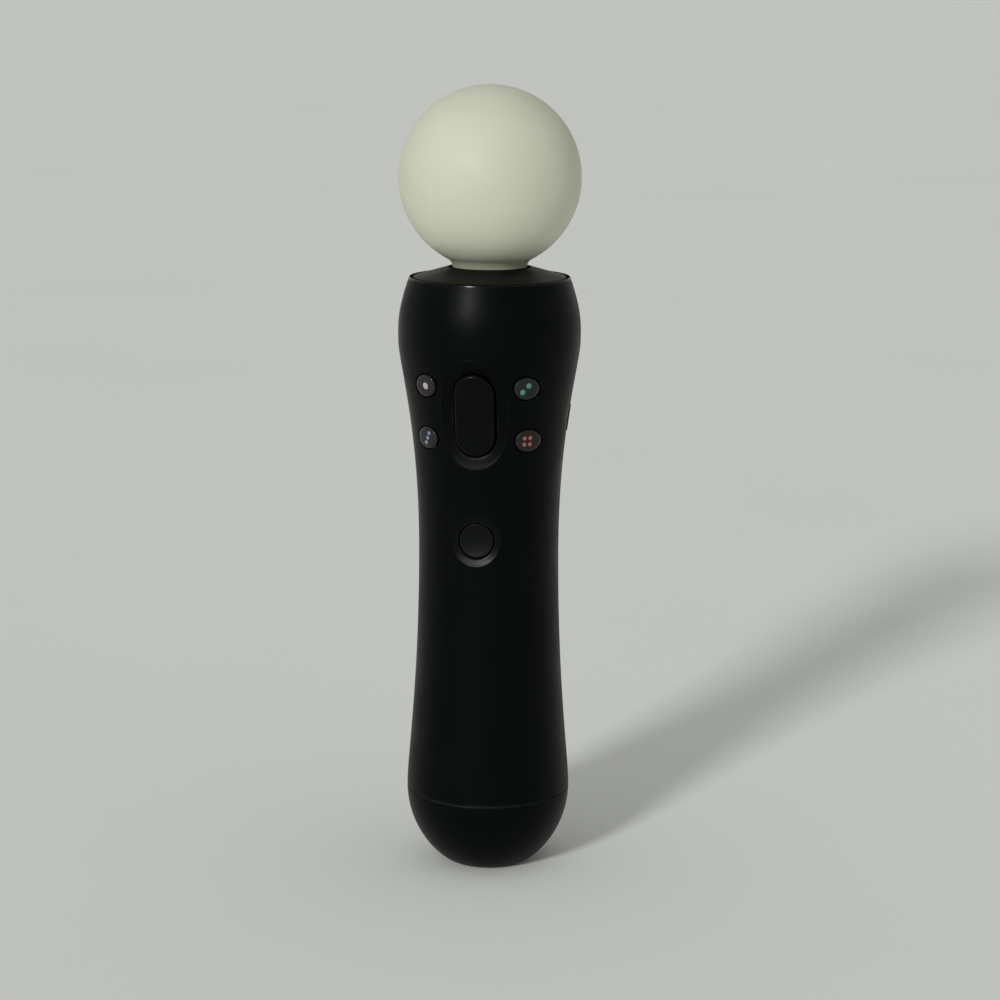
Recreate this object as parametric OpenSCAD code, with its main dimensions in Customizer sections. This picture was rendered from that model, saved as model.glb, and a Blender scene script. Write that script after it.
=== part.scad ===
// Motion controller wand with a light globe, standing on its flat base.
// The front, with the buttons, faces -Y. The origin is the centre of the base.

/* [Body outline] */
// Diameter of the flat base
base_d = 19.4; // [18.8:0.1:21]
// Length of the flat run that rounds the edge of the base
base_round = 2; // [1:0.1:3]
// Height of the seam between the end cap and the shells
seam_z = 20.1; // [19:0.1:22]
// Diameter at that seam, the widest part of the foot
belly_d = 42; // [40:0.1:45]
// Upright run of the outline below the seam
belly_pull = 12.8; // [9:0.1:14]
// Height of the waist
waist_z = 83.6; // [76:0.1:92]
// Diameter of the waist
waist_d = 35.7; // [35:0.1:39]
// Upright run of the outline above the seam
grip_pull_low = 7; // [4:0.1:12]
// Upright run of the outline below the waist
grip_pull_high = 35.7; // [28:0.1:42]
// Upright run of the outline above the waist
flare_pull_low = 31; // [24:0.1:36]
// Upright run of the outline below the shoulder
flare_pull_high = 6; // [3:0.1:10]
// Height of the body's rim
body_h = 152.4; // [148:0.1:160]
// Distance from the rim down to the shoulder
shoulder_drop = 15.9; // [13:0.1:18]
// Diameter of the shoulder, the widest part of the body
shoulder_d = 46; // [44:0.1:49]
// Upright run of the outline above the shoulder
crown_pull_low = 4; // [2:0.1:6]
// Run of the outline below the rim
crown_pull_high = 9; // [6:0.1:11]
// Inward lean of the outline at the rim, per unit of height
crown_lean = 0.35; // [0.2:0.01:0.5]
// Diameter of the rim
rim_d = 40.4; // [39:0.1:43]

/* [Casing] */
// Wall of the shells
wall = 2; // [1.6:0.1:2.3]
// Floor of the end cap
floor_t = 2; // [1.6:0.1:2.6]
// Height of the end cap's collar inside the shells
collar_h = 5; // [4:0.1:6]
// Wall of that collar
collar_t = 1.6; // [1.2:0.1:2]
// Gap between the collar and the shells
collar_gap = 0.2; // [0.1:0.05:0.3]
// Height of the snap bead on the collar
bead_h = 1.6; // [1.2:0.1:2]
// How far the bead stands out
bead_out = 0.7; // [0.4:0.1:0.9]
// Thickness of the top plate at its edge
plate_t = 1.6; // [1.2:0.1:2.4]
// Rise of the top plate from its edge to the neck
plate_rise = 2.7; // [1:0.1:3.5]
// Width of the rim left outside the top plate
rim_lip = 0.9; // [0.6:0.1:1.1]
// Chamfer that softens the outer edge of the rim and of the seam
edge_chamfer = 0.3; // [0.1:0.05:0.4]
// Thickness of the shelf inside the top of the shells
shelf_t = 2; // [1.5:0.1:3]
// Gap of pieces that fit together and stay still
fit_gap = 0.15; // [0.05:0.05:0.2]

/* [Light] */
// Outer diameter of the light globe
globe_d = 45.7; // [40:0.1:48]
// Wall of the globe
globe_wall = 1.6; // [1:0.1:2.2]
// Diameter of the globe's neck
neck_d = 18.6; // [16:0.1:20]
// Height of the neck that shows above the plate
neck_h = 1.1; // [0.8:0.1:4]
// Width of the flange that holds the globe under the plate
flange_w = 2.4; // [1.6:0.1:2.8]
// Thickness of that flange
flange_t = 1.6; // [1.2:0.1:2]
// Thickness of the seat ring under the globe
seat_t = 2; // [1.6:0.1:3]
// Hole of the seat ring
seat_hole_d = 10; // [8:0.1:11]
// Height of the light guide
guide_h = 9; // [6:0.5:14]
// Diameter of the light board
light_board_d = 21.6; // [19:0.1:22]
// Side of the colour light
led_w = 3.4; // [2.8:0.1:5]
// Height of the colour light
led_h = 1.2; // [0.8:0.1:1.6]

/* [Front buttons] */
// Distance from the rim down to the middle of the controls
controls_drop = 32.25; // [30:0.05:35]
// Width of the centre button
center_w = 10.2; // [8:0.1:11]
// Length of the centre button
center_l = 21; // [18:0.1:22]
// Travel of the centre button
center_travel = 1.2; // [0.6:0.1:1.5]
// Length of the scooped recess round the centre button
recess_l = 27.9; // [26:0.1:29]
// Depth of that recess
recess_depth = 2.1; // [1.5:0.1:2.2]
// Diameter of a face button
face_d = 5.6; // [5:0.1:6.6]
// Sideways distance of a face button from the middle
face_dx = 12.6; // [12.4:0.1:13.2]
// Upright distance of a face button from the middle of the controls
face_dz = 6.7; // [6:0.1:7.5]
// Travel of a face button
face_travel = 1; // [0.5:0.1:1.2]
// Distance from the rim down to the home button
home_drop = 64.4; // [62:0.1:68]
// Diameter of the home button
home_d = 8.6; // [7:0.1:9.5]
// Width of the dish round the home button
dish_w = 12.5; // [12:0.1:13]
// Height of that dish
dish_l = 13.2; // [12:0.1:14]
// Depth of that dish
dish_depth = 1.35; // [1.3:0.05:2]
// Travel of the home button
home_travel = 0.8; // [0.4:0.1:1]
// How far a cap stands out of the body
cap_proud = 0.5; // [0.2:0.1:0.8]
// Gap between a button and its hole
button_gap = 0.3; // [0.2:0.05:0.35]
// Least thickness of the casing behind a recess
guide_t = 1.8; // [1.4:0.1:2.2]
// Width of a button's hidden flange
lip_w = 1.3; // [1:0.1:1.6]
// Thickness of a button's hidden flange
lip_t = 1.2; // [0.8:0.1:1.4]
// Diameter of a button's stem
stem_d = 4; // [3:0.1:4.4]

/* [Side buttons] */
// How far a side button stands out of the body
side_proud = 0.2; // [0.1:0.05:0.5]
// Distance from the rim down to the side buttons
side_drop = 35.6; // [33:0.1:38]
// Distance of the side buttons behind the parting plane
side_y = 2.8; // [2.6:0.1:3.4]
// Width of a side button
side_w = 3.4; // [2.8:0.1:3.6]
// Length of a side button
side_l = 7; // [5:0.1:9]
// Travel of a side button
side_travel = 0.6; // [0.3:0.1:0.8]

/* [Boards and frame] */
// Distance from the axis forward to the face of the main board
board_setback = 5; // [4.4:0.1:5.6]
// Thickness of the boards
board_t = 1.2; // [0.8:0.1:1.6]
// Thickness of the frame's plate
frame_t = 1.5; // [1.2:0.1:2]
// Space between the frame's edge and the casing at the waist
core_gap = 2.2; // [1.6:0.1:2.6]
// Thickness of the button membrane
web_t = 0.8; // [0.6:0.1:1]
// Height left in a rubber dome when its button is pressed home
dome_floor = 1.2; // [0.9:0.1:1.3]
// Thickness of a ribbon cable
ribbon_t = 0.3; // [0.2:0.05:0.4]
// Width of a ribbon cable
ribbon_w = 5; // [4:0.1:6]

/* [Chips] */
// Side of the processor
processor_w = 9; // [7:0.5:11]
// Width of the radio module
radio_w = 12; // [9:0.5:13]
// Length of the radio module
radio_l = 14; // [10:0.5:16]
// Height of the radio module
radio_h = 1.8; // [1:0.1:2.4]
// Side of the motion sensor
gyro_w = 5; // [3:0.5:5.5]
// Side of the tilt sensor
tilt_w = 4; // [2.5:0.5:4.5]
// Side of the compass
compass_w = 3; // [2:0.5:4]
// Height of the flat chips
chip_h = 1; // [0.7:0.1:1.4]
// Width of the battery's plug
cell_plug_w = 4; // [3:0.5:5]
// Length of the battery's plug
cell_plug_l = 7; // [5:0.5:8]
// Width of the light ribbon's plug
light_plug_w = 6; // [4:0.5:7]
// Length of the light ribbon's plug
light_plug_l = 3; // [2:0.5:4]
// Height of the plugs
plug_h = 2; // [1.2:0.1:2.4]

/* [Battery and motor] */
// Thickness of the battery cell
battery_t = 10; // [8.5:0.1:10.4]
// Wall of the battery tray
tray_t = 1.2; // [1:0.1:1.6]
// Diameter of the vibration motor
motor_d = 10; // [9:0.1:11]
// Length of the vibration motor
motor_l = 14; // [12:0.1:15]
// Diameter of the motor shaft
shaft_d = 1.5; // [1.2:0.1:2]
// Diameter swept by the off-centre weight
weight_d = 9; // [7:0.1:9.6]
// Length of the off-centre weight
weight_l = 5; // [4:0.1:6]

/* [Trigger] */
// Distance from the rim down to the trigger's pivot
pivot_drop = 30.9; // [29:0.1:33]
// Radius of the trigger's barrel round its pivot
barrel_r = 5.2; // [4.8:0.1:5.6]
// Width of the trigger
trigger_w = 15.6; // [13:0.1:16.2]
// Distance from the pivot down to the trigger's tip
trigger_l = 21; // [19:0.1:22]
// Distance of the trigger's tip behind the axis
trigger_reach = 22.6; // [22:0.1:22.9]
// Thickness of the trigger's face
trigger_face_t = 2.2; // [1.8:0.1:2.6]
// Pull of the trigger in degrees
trigger_pull = 12; // [6:0.5:13]
// Gap round the trigger in its opening
trigger_gap = 0.4; // [0.3:0.05:0.5]
// Diameter of the trigger pin
pin_d = 2; // [1.6:0.1:2.4]
// Gap of a shaft or pin that turns in its bore
run_gap = 0.05; // [0.02:0.01:0.1]
// Wire of the trigger spring
wire_d = 0.7; // [0.5:0.05:0.8]
// Turns of the trigger spring
spring_turns = 5; // [3:1:6]

/* [Base sockets] */
// Height of the port board's underside
port_z = 10.4; // [9.6:0.1:11.2]
// Width of the data socket
usb_w = 7.7; // [7:0.1:8.2]
// Depth of the data socket, front to back
usb_t = 4; // [3.6:0.1:4.4]
// Width of the extension socket
ext_w = 12; // [10:0.1:12.4]
// Depth of the extension socket, front to back
ext_t = 3.4; // [3:0.1:3.8]
// Metal or plastic wall of a socket
socket_wall = 0.5; // [0.4:0.1:0.7]
// Diameter of a charge contact
contact_d = 2.4; // [2:0.1:2.6]
// Diameter of the strap bar
strap_bar_d = 2; // [1.6:0.1:2.4]
// Width of the strap pocket
strap_w = 8; // [6:0.1:9]

/* [Fasteners] */
// Shank of a case screw
case_screw_d = 2.2; // [1.8:0.1:2.6]
// Length of a case screw under its head
case_screw_l = 11.5; // [9:0.1:12]
// Head of a case screw
case_head_d = 4; // [3.6:0.1:4.4]
// Shank of a small screw
small_screw_d = 1.6; // [1.4:0.1:1.8]
// Head of a small screw
small_head_d = 3; // [2.6:0.1:3.2]
// Height of every screw head
head_h = 1.1; // [0.8:0.1:1.3]

/* [Hidden] */
$fn = 64;

// How far a cut runs past the face it opens
over = 1;

// Colours of the materials
shell_black = [0.05, 0.05, 0.055];
plate_grey = [0.16, 0.15, 0.14];
globe_ivory = [0.86, 0.86, 0.78];
cap_grey = [0.13, 0.13, 0.14];
board_green = [0.10, 0.30, 0.18];
frame_grey = [0.35, 0.36, 0.38];
rubber_grey = [0.55, 0.56, 0.58];
chip_black = [0.08, 0.08, 0.09];
steel = [0.70, 0.71, 0.73];
gold = [0.80, 0.65, 0.30];
ribbon_amber = [0.75, 0.50, 0.18];

// A smooth stretch of outline between two points, drawn by two handles
function curve(a, b, c, d, steps) = [
    for (i = [0:steps])
        let (t = i / steps, s = 1 - t)
            s * s * s * a + 3 * s * s * t * b + 3 * s * t * t * c + t * t * t * d
];
function tail(list) = [for (i = [1:len(list) - 1]) list[i]];
function reversed(list) = [for (i = [len(list) - 1:-1:0]) list[i]];
function chord(r, offset) = sqrt(r * r - offset * offset);
function arc_r(width, rise) = (width * width / 4 + rise * rise) / (2 * rise);

// Outline of the body, from the base to the rim, as [radius, height]
base_r = base_d / 2;
belly_r = belly_d / 2;
waist_r = waist_d / 2;
shoulder_r = shoulder_d / 2;
rim_r = rim_d / 2;
shoulder_z = body_h - shoulder_drop;
foot_curve = curve([base_r, 0], [base_r + base_round, 0],
    [belly_r, seam_z - belly_pull], [belly_r, seam_z], 12);
grip_curve = curve([belly_r, seam_z], [belly_r, seam_z + grip_pull_low],
    [waist_r, waist_z - grip_pull_high], [waist_r, waist_z], 14);
flare_curve = curve([waist_r, waist_z], [waist_r, waist_z + flare_pull_low],
    [shoulder_r, shoulder_z - flare_pull_high], [shoulder_r, shoulder_z], 16);
crown_curve = curve([shoulder_r, shoulder_z], [shoulder_r, shoulder_z + crown_pull_low],
    [rim_r + crown_lean * crown_pull_high, body_h - crown_pull_high], [rim_r, body_h], 8);
shell_curve = concat(grip_curve, tail(flare_curve), tail(crown_curve));
shell_outline = concat(
    [[belly_r - edge_chamfer, seam_z]],
    [for (p = shell_curve) if (p[1] > seam_z + edge_chamfer && p[1] < body_h - edge_chamfer) p],
    [[rim_r, body_h - edge_chamfer], [rim_r - edge_chamfer, body_h]]
);
body_curve = concat(foot_curve, tail(shell_curve));
radius_table = [for (p = body_curve) [p[1], p[0]]];
function body_r(z) = lookup(z, radius_table);
function inner_r(z) = body_r(z) - wall;

// End cap, with the collar that the shells close round
collar_top = seam_z + collar_h;
collar_r = inner_r(collar_top) - collar_gap;
collar_bore_r = collar_r - collar_t;
bead_z = seam_z + collar_h / 2;
bead_r = collar_r + bead_out;
bead_chamfer = bead_h / 4;
groove_r = bead_r + collar_gap;
groove_h = bead_h + 2 * collar_gap;
bore_drop = 2.5;
bore_pull = 10;
cap_bore_z = seam_z - bore_drop;
cap_bore = curve([base_r, floor_t], [base_r + base_round, floor_t],
    [collar_bore_r, cap_bore_z - bore_pull], [collar_bore_r, cap_bore_z], 10);
cap_bore_table = [for (p = cap_bore) [p[1], p[0]]];

// Stack of pieces under the globe
ledge_z = body_h - plate_t;
ledge_r = inner_r(ledge_z);
plate_r = rim_r - rim_lip;
plate_pocket_r = plate_r + fit_gap;
plate_top = body_h + plate_rise;
shelf_top = ledge_z - seat_t;
shelf_bottom = shelf_top - shelf_t;
neck_r = neck_d / 2;
neck_bore_r = neck_r - globe_wall;
flange_r = neck_r + flange_w;
globe_r = globe_d / 2;
globe_z = plate_top + neck_h + chord(globe_r, neck_r);
flare_rise = 0.8;
flare_h = neck_h + flare_rise;
seat_r = ledge_r - fit_gap;
light_board_r = light_board_d / 2;
light_board_z = shelf_top - board_t;
tip_gap = 0.3;
screw_edge = 0.3;
seat_screw_r = flange_r + fit_gap + small_screw_d;
shelf_r = seat_screw_r + small_head_d / 2 + screw_edge;
light_screw_r = light_board_r - small_head_d / 2 - screw_edge;
guide_r = neck_bore_r - 2 * fit_gap;
guide_dome_r = 1.3 * guide_r;

// Levels from front to back through the boards
board_front = -board_setback;
board_back = board_front + board_t;
frame_back = board_back + frame_t;
web_front = board_front - web_t;
function dome_top(travel) = web_front - dome_floor - travel;
web_inset = 0.4;
web_rim = 2.4;
dome_spread = 2.6;

// Places of the controls
controls_z = body_h - controls_drop;
home_z = body_h - home_drop;
side_z = body_h - side_drop;
pivot_z = body_h - pivot_drop;
seat_gap = 0.25;
tab_w = 2;
stem_least = 0.2;
recess_reach = recess_l / 2;
recess_hi_r = body_r(controls_z + recess_reach);
recess_lo_r = body_r(controls_z - recess_reach);
recess_tilt = atan((recess_hi_r - recess_lo_r) / (2 * recess_reach));
recess_mid_r = (recess_hi_r + recess_lo_r) / 2;
recess_rim = 0.7;
recess_bow_low = 3;
recess_bow_high = 2;
recess_side = center_w + 2 * (lip_w + recess_rim);
recess_span = recess_l + 2 * recess_rim;
center_guide_y = guide_t + recess_depth - body_r(controls_z - center_l / 2 - button_gap);
home_guide_y = guide_t + dish_depth - body_r(home_z);
dish_rim = 1;
home_proud = 0.1;
home_r = body_r(home_z);
dish_rise = dish_depth - home_r + chord(home_r, dish_w / 2);
dish_side_r = arc_r(dish_w, dish_rise);
dish_up_r = arc_r(dish_l, dish_depth);
dish_y = dish_depth - home_r - dish_side_r;
side_flange_x = chord(inner_r(side_z - side_l / 2 - lip_w), side_y + side_w / 2 + lip_w) - seat_gap;

// Case screws: one pair near the foot and one pair near the shoulder
boss_inset = 4.4;
boss_room = 3.2;
boss_low_z = collar_top + boss_room;
boss_drop = 12.4;
boss_high_z = body_h - boss_drop;
boss_spots = [for (z = [boss_low_z, boss_high_z], side = [-1, 1])
    [side * (inner_r(z) - boss_inset), z]];
boss_wall = 1.3;
front_boss_d = case_screw_d + 2 * boss_wall;
head_gap = 0.2;
well_wall = 0.8;
well_d = case_head_d + 2 * head_gap;
rear_boss_d = well_d + 2 * well_wall;
boss_floor = 5.2;
head_seat_y = frame_back + boss_floor;
pilot_d = case_screw_d + 2 * run_gap;
small_pilot_d = small_screw_d + 2 * run_gap;

// Main board and inner frame
core_half = chord(waist_r - wall, board_front) - core_gap;
frame_foot = 2;
frame_head = 2.6;
board_foot = 8;
board_head = 5;
frame_low = boss_low_z - frame_foot;
frame_high = boss_high_z + frame_head;
board_low = boss_low_z + board_foot;
board_high = boss_high_z - board_head;
wing_rim = 2.5;
wing_low = controls_z - face_dz - face_d / 2 - wing_rim;
wing_gap = 0.8;
wing_half = chord(inner_r(wing_low), board_front) - wing_gap;
post_h = 2.4;
screw_bite = 2;
board_screw_l = board_t + frame_t + screw_bite;
board_inset = 3;
board_screw_spots = [
    [-(core_half - board_inset), board_low + board_inset],
    [core_half - board_inset, board_low + board_inset],
    [0, board_high - board_inset]
];
ribbon_x = 4;
chip_gap = 1.5;
ribbon_lap = 3;
chips_low = board_low + ribbon_lap;
chips_high = home_z - home_d / 2 - web_rim;
chip_space = (chips_high - chips_low - radio_l - processor_w) / 3;
processor_at = [-processor_w / 3, chips_high - chip_space - processor_w / 2];
gyro_at = [processor_at[0] + (processor_w + gyro_w) / 2 + chip_gap,
    processor_at[1] - (processor_w - gyro_w) / 2];
compass_at = [gyro_at[0], processor_at[1] + (processor_w - compass_w) / 2];
tilt_at = [gyro_at[0] + (gyro_w + tilt_w + chip_gap) / 2, processor_at[1]];
radio_at = [chip_gap, chips_low + chip_space + radio_l / 2];
cell_plug_at = [radio_at[0] - (radio_w + cell_plug_w) / 2 - chip_gap, radio_at[1]];
light_plug_at = [light_plug_w / 2 - wing_half + chip_gap, board_high - light_plug_l / 2 - chip_gap];

// Motor, battery and rear board, one above the other behind the frame
saddle_t = 1.2;
saddle_inset = 2;
saddle_hold = 1.5;
motor_y = frame_back + saddle_t + motor_d / 2;
weight_rise = 0.2;
weight_gap = 0.6;
weight_z = boss_low_z + weight_rise;
motor_z = weight_z + weight_l + weight_gap;
motor_top = motor_z + motor_l;
rear_board_rise = 3;
tray_low_gap = 1.2;
tray_high_gap = 1.4;
rear_board_low = home_z + rear_board_rise;
battery_low = motor_top + tray_t + tray_low_gap;
battery_high = rear_board_low - tray_t - tray_high_gap;
battery_half = core_half - tray_t - fit_gap;
battery_back = frame_back + battery_t;
tray_drop = 3.5;
tray_back = battery_back - tray_drop;
lead_d = 1;
lead_x = 3;
lead_lap = 4;
cheek_t = 1.5;
cheek_gap = 0.8;
switch_h = 1.4;
switch_w = 3.6;
switch_l = 6;
switch_gap = 0.1;
side_stem_l = 0.1;
side_step = 0.5;
side_stem_end = side_flange_x - lip_t - side_stem_l;
cheek_x = side_stem_end - side_travel - switch_gap - switch_h - cheek_t;
rear_board_half = cheek_x - cheek_gap;
rear_board_drop = 3.5;
rear_board_high = controls_z - rear_board_drop;
rear_board_y = battery_back - fit_gap;
rear_board_back = rear_board_y + board_t;
post_d = 4;
rear_bite = 4;
rear_inset = 2.3;
rear_screw_spots = [
    [-(rear_board_half - rear_inset), rear_board_low + rear_inset],
    [rear_board_half - rear_inset, rear_board_low + rear_inset],
    [-(rear_board_half - rear_inset), rear_board_high - rear_inset],
    [rear_board_half - rear_inset, rear_board_high - rear_inset]
];

// Trigger, hinged at its top on a pin along X
pivot_y = body_r(pivot_z) - barrel_r;
tip_z = pivot_z - trigger_l;
tip_y = trigger_reach;
tip_round = 1.2;
trigger_half = trigger_w / 2;
opening_half = trigger_half + trigger_gap;
opening_low = pivot_z - trigger_l * cos(trigger_pull) - (tip_y - pivot_y) * sin(trigger_pull) - trigger_gap;
trigger_depth = 6.4;
trigger_inner = trigger_reach - trigger_depth;
finger_pull_high = 8.5;
finger_pull_low = 7;
finger_lean = 3;
hub_drop = 7;
hub_lean = 1.2;
finger_curve = curve([pivot_y + barrel_r, pivot_z], [pivot_y + barrel_r, pivot_z - finger_pull_high],
    [tip_y - finger_lean, tip_z + finger_pull_low], [tip_y, tip_z + tip_round], 12);
hub_r = pin_d / 2 + 1.7;
pin_post_t = 2.2;
pin_end_gap = 0.3;
pin_half = opening_half + pin_post_t;
finger_table = [for (p = reversed(finger_curve)) [p[1], p[0]]];
nub_drop = 13.5;
nub_z = pivot_z - nub_drop;
nub_root_y = lookup(nub_z, finger_table) - trigger_face_t / 2;
dome_h = 3.7;
dome_pad = 9;
dome_flare = 3;
nub_end_y = rear_board_back + dome_h;
spring_half = 3.4;
spring_play = 0.3;
spring_r = pin_d / 2 + spring_play + wire_d / 2;
pocket_play = 0.5;
spring_pocket_r = spring_r + wire_d / 2 + pocket_play;
tip_t = 2.4;
trigger_cheek = 2;

// Reset, pressed with a pin through a small hole under the trigger
reset_shift = 0.6;
reset_z = (rear_board_low + opening_low) / 2 - reset_shift;
reset_d = 1.5;
reset_travel = 0.5;
reset_sunk = 0.8;
reset_switch_h = 1.5;
reset_flange_d = 3.6;
reset_flange_y = chord(inner_r(reset_z), reset_flange_d / 2) - seat_gap;
reset_gap = 0.1;
reset_switch_w = 4;

// Base
port_gap = 0.4;
port_r = lookup(port_z, cap_bore_table) - port_gap;
port_board_cut_y = 8;
usb_y = -4.4;
ext_y = 2.6;
socket_low = 0.5;
socket_back = 1.2;
tongue_inset = 1.6;
tongue_sunk = 1;
usb_tongue_t = 1;
ext_tongue_t = 0.8;
contact_sunk = 0.2;
contact_step = 0.4;
contact_x = chord(base_r - contact_d / 2 - 2 * contact_step, usb_y);
port_boss_d = 4;
port_bite = 3;
port_boss_inset = 2.8;
port_boss_x = port_r - port_boss_inset;
strap_drop = 4.8;
strap_z = port_z - strap_drop;
strap_sunk = 1.2;
strap_y = body_r(strap_z) - strap_bar_d / 2 - strap_sunk;
strap_room = 1.7;
strap_wall = 1.4;

// Shared shapes
module revolved_body(grow) {
    rotate_extrude()
        polygon(concat([[0, 0]], [for (p = body_curve) [p[0] + grow, p[1]]], [[0, body_h]]));
}

module stadium(w, l) {
    square([w, l - w], center = true);
    for (end = [-1, 1])
        translate([0, end * (l - w) / 2])
            circle(d = w);
}

module box(x, y, z) {
    translate([x[0], y[0], z[0]])
        cube([x[1] - x[0], y[1] - y[0], z[1] - z[0]]);
}

module y_prism(y0, y1) {
    translate([0, y1, 0])
        rotate([90, 0, 0])
            linear_extrude(y1 - y0)
                children();
}

module x_prism(x0, x1) {
    translate([x0, 0, 0])
        rotate([90, 0, 90])
            linear_extrude(x1 - x0)
                children();
}

module y_rod(x, z, d, y0, y1) {
    translate([x, y0, z])
        rotate([-90, 0, 0])
            cylinder(d = d, h = y1 - y0);
}

module x_rod(y, z, d, x0, x1) {
    translate([x0, y, z])
        rotate([0, 90, 0])
            cylinder(d = d, h = x1 - x0);
}

module y_screw(x, z, seat_y, d, l, head_d, dir) {
    y_rod(x, z, d, min(seat_y, seat_y + dir * l), max(seat_y, seat_y + dir * l));
    y_rod(x, z, head_d, min(seat_y, seat_y - dir * head_h), max(seat_y, seat_y - dir * head_h));
}

// Casing
module shell_half() {
    groove_low = bead_z - groove_h / 2;
    groove_high = bead_z + groove_h / 2;
    inside = [for (p = reversed(shell_curve))
        if (p[1] < shelf_bottom - fit_gap && p[1] > groove_high + fit_gap) [p[0] - wall, p[1]]];
    rotate_extrude(angle = 180)
        polygon(concat(
            shell_outline,
            [
                [plate_pocket_r, body_h],
                [plate_pocket_r, ledge_z],
                [ledge_r, ledge_z],
                [ledge_r, shelf_top],
                [shelf_r, shelf_top],
                [shelf_r, shelf_bottom],
                [inner_r(shelf_bottom), shelf_bottom]
            ],
            inside,
            [
                [inner_r(groove_high), groove_high],
                [groove_r, groove_high],
                [groove_r, groove_low],
                [inner_r(groove_low), groove_low],
                [inner_r(seam_z), seam_z]
            ]
        ));
}

// The recess is flat across the body and bowed along it, more sharply at its lower end
module recess_cutter() {
    past = 1.12;
    steps = 8;
    x_prism(-shoulder_r, shoulder_r)
        translate([-recess_mid_r, controls_z])
            rotate(recess_tilt)
                polygon(concat(
                    [for (i = [-steps:steps])
                        let (s = past * i / steps, bow = i < 0 ? recess_bow_low : recess_bow_high)
                            [recess_depth * (1 - pow(abs(s), bow)), s * recess_reach]],
                    [[-2 * over, past * recess_reach], [-2 * over, -past * recess_reach]]
                ));
}

// The dish has one curve across the body and a tighter one along it
module dish_cutter(out) {
    translate([0, dish_y - out, home_z])
        rotate_extrude()
            polygon(concat(
                [[0, -dish_up_r * sin(57.5)]],
                [for (a = [-57.5:5:57.5]) [dish_side_r - dish_up_r + dish_up_r * cos(a), dish_up_r * sin(a)]],
                [[0, dish_up_r * sin(57.5)]]
            ));
}

module front_shell() {
    color(shell_black)
        difference() {
            union() {
                rotate([0, 0, 180])
                    shell_half();
                intersection() {
                    revolved_body(-wall / 2);
                    union() {
                        for (spot = boss_spots)
                            y_rod(spot[0], spot[1], front_boss_d, -shoulder_r, board_back);
                        y_rod(0, home_z, dish_l + 2 * dish_rim, -shoulder_r, home_guide_y);
                        y_prism(-shoulder_r, center_guide_y)
                            translate([0, controls_z])
                                stadium(recess_side, recess_span);
                    }
                }
            }
            recess_cutter();
            y_prism(-shoulder_r, 0)
                translate([0, controls_z])
                    stadium(center_w + 2 * button_gap, center_l + 2 * button_gap);
            dish_cutter(0);
            y_rod(0, home_z, home_d + 2 * button_gap, -shoulder_r, 0);
            for (side = [-1, 1], end = [-1, 1])
                y_rod(side * face_dx, controls_z + end * face_dz, face_d + 2 * button_gap,
                    -shoulder_r, web_front);
            for (spot = boss_spots)
                y_rod(spot[0], spot[1], pilot_d, head_seat_y - case_screw_l - 0.5, board_back);
        }
}

module side_slot(side, grow) {
    mirror([side < 0 ? 1 : 0, 0, 0])
        x_prism(0, shoulder_r)
            translate([side_y, side_z])
                stadium(side_w + 2 * grow, side_l + 2 * grow);
}

module rear_shell() {
    color(shell_black)
        difference() {
            union() {
                shell_half();
                intersection() {
                    revolved_body(-wall / 2);
                    union() {
                        for (spot = boss_spots)
                            y_rod(spot[0], spot[1], rear_boss_d, frame_back, shoulder_r);
                        for (side = [-1, 1])
                            pin_post(side);
                    }
                }
            }
            for (spot = boss_spots) {
                y_rod(spot[0], spot[1], pilot_d, frame_back, shoulder_r);
                y_rod(spot[0], spot[1], well_d, head_seat_y, shoulder_r);
            }
            box([-opening_half, opening_half], [pivot_y - barrel_r, shoulder_r], [opening_low, pivot_z]);
            x_rod(pivot_y, pivot_z, 2 * (barrel_r + trigger_gap), -opening_half, opening_half);
            x_rod(pivot_y, pivot_z, pin_d + 2 * run_gap, -pin_half, pin_half);
            for (side = [-1, 1])
                intersection() {
                    side_slot(side, button_gap);
                    box([-shoulder_r, shoulder_r], [0, shoulder_r], [0, body_h]);
                }
            y_rod(0, reset_z, reset_d + 2 * button_gap, rear_board_back, shoulder_r);
        }
}

module pin_post(side) {
    inside = opening_half;
    x_prism(side > 0 ? inside : -pin_half, side > 0 ? pin_half : -inside) {
        translate([pivot_y, pivot_z])
            circle(r = hub_r);
        translate([pivot_y, pivot_z - hub_r])
            square([barrel_r, 2 * hub_r]);
    }
}

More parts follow.
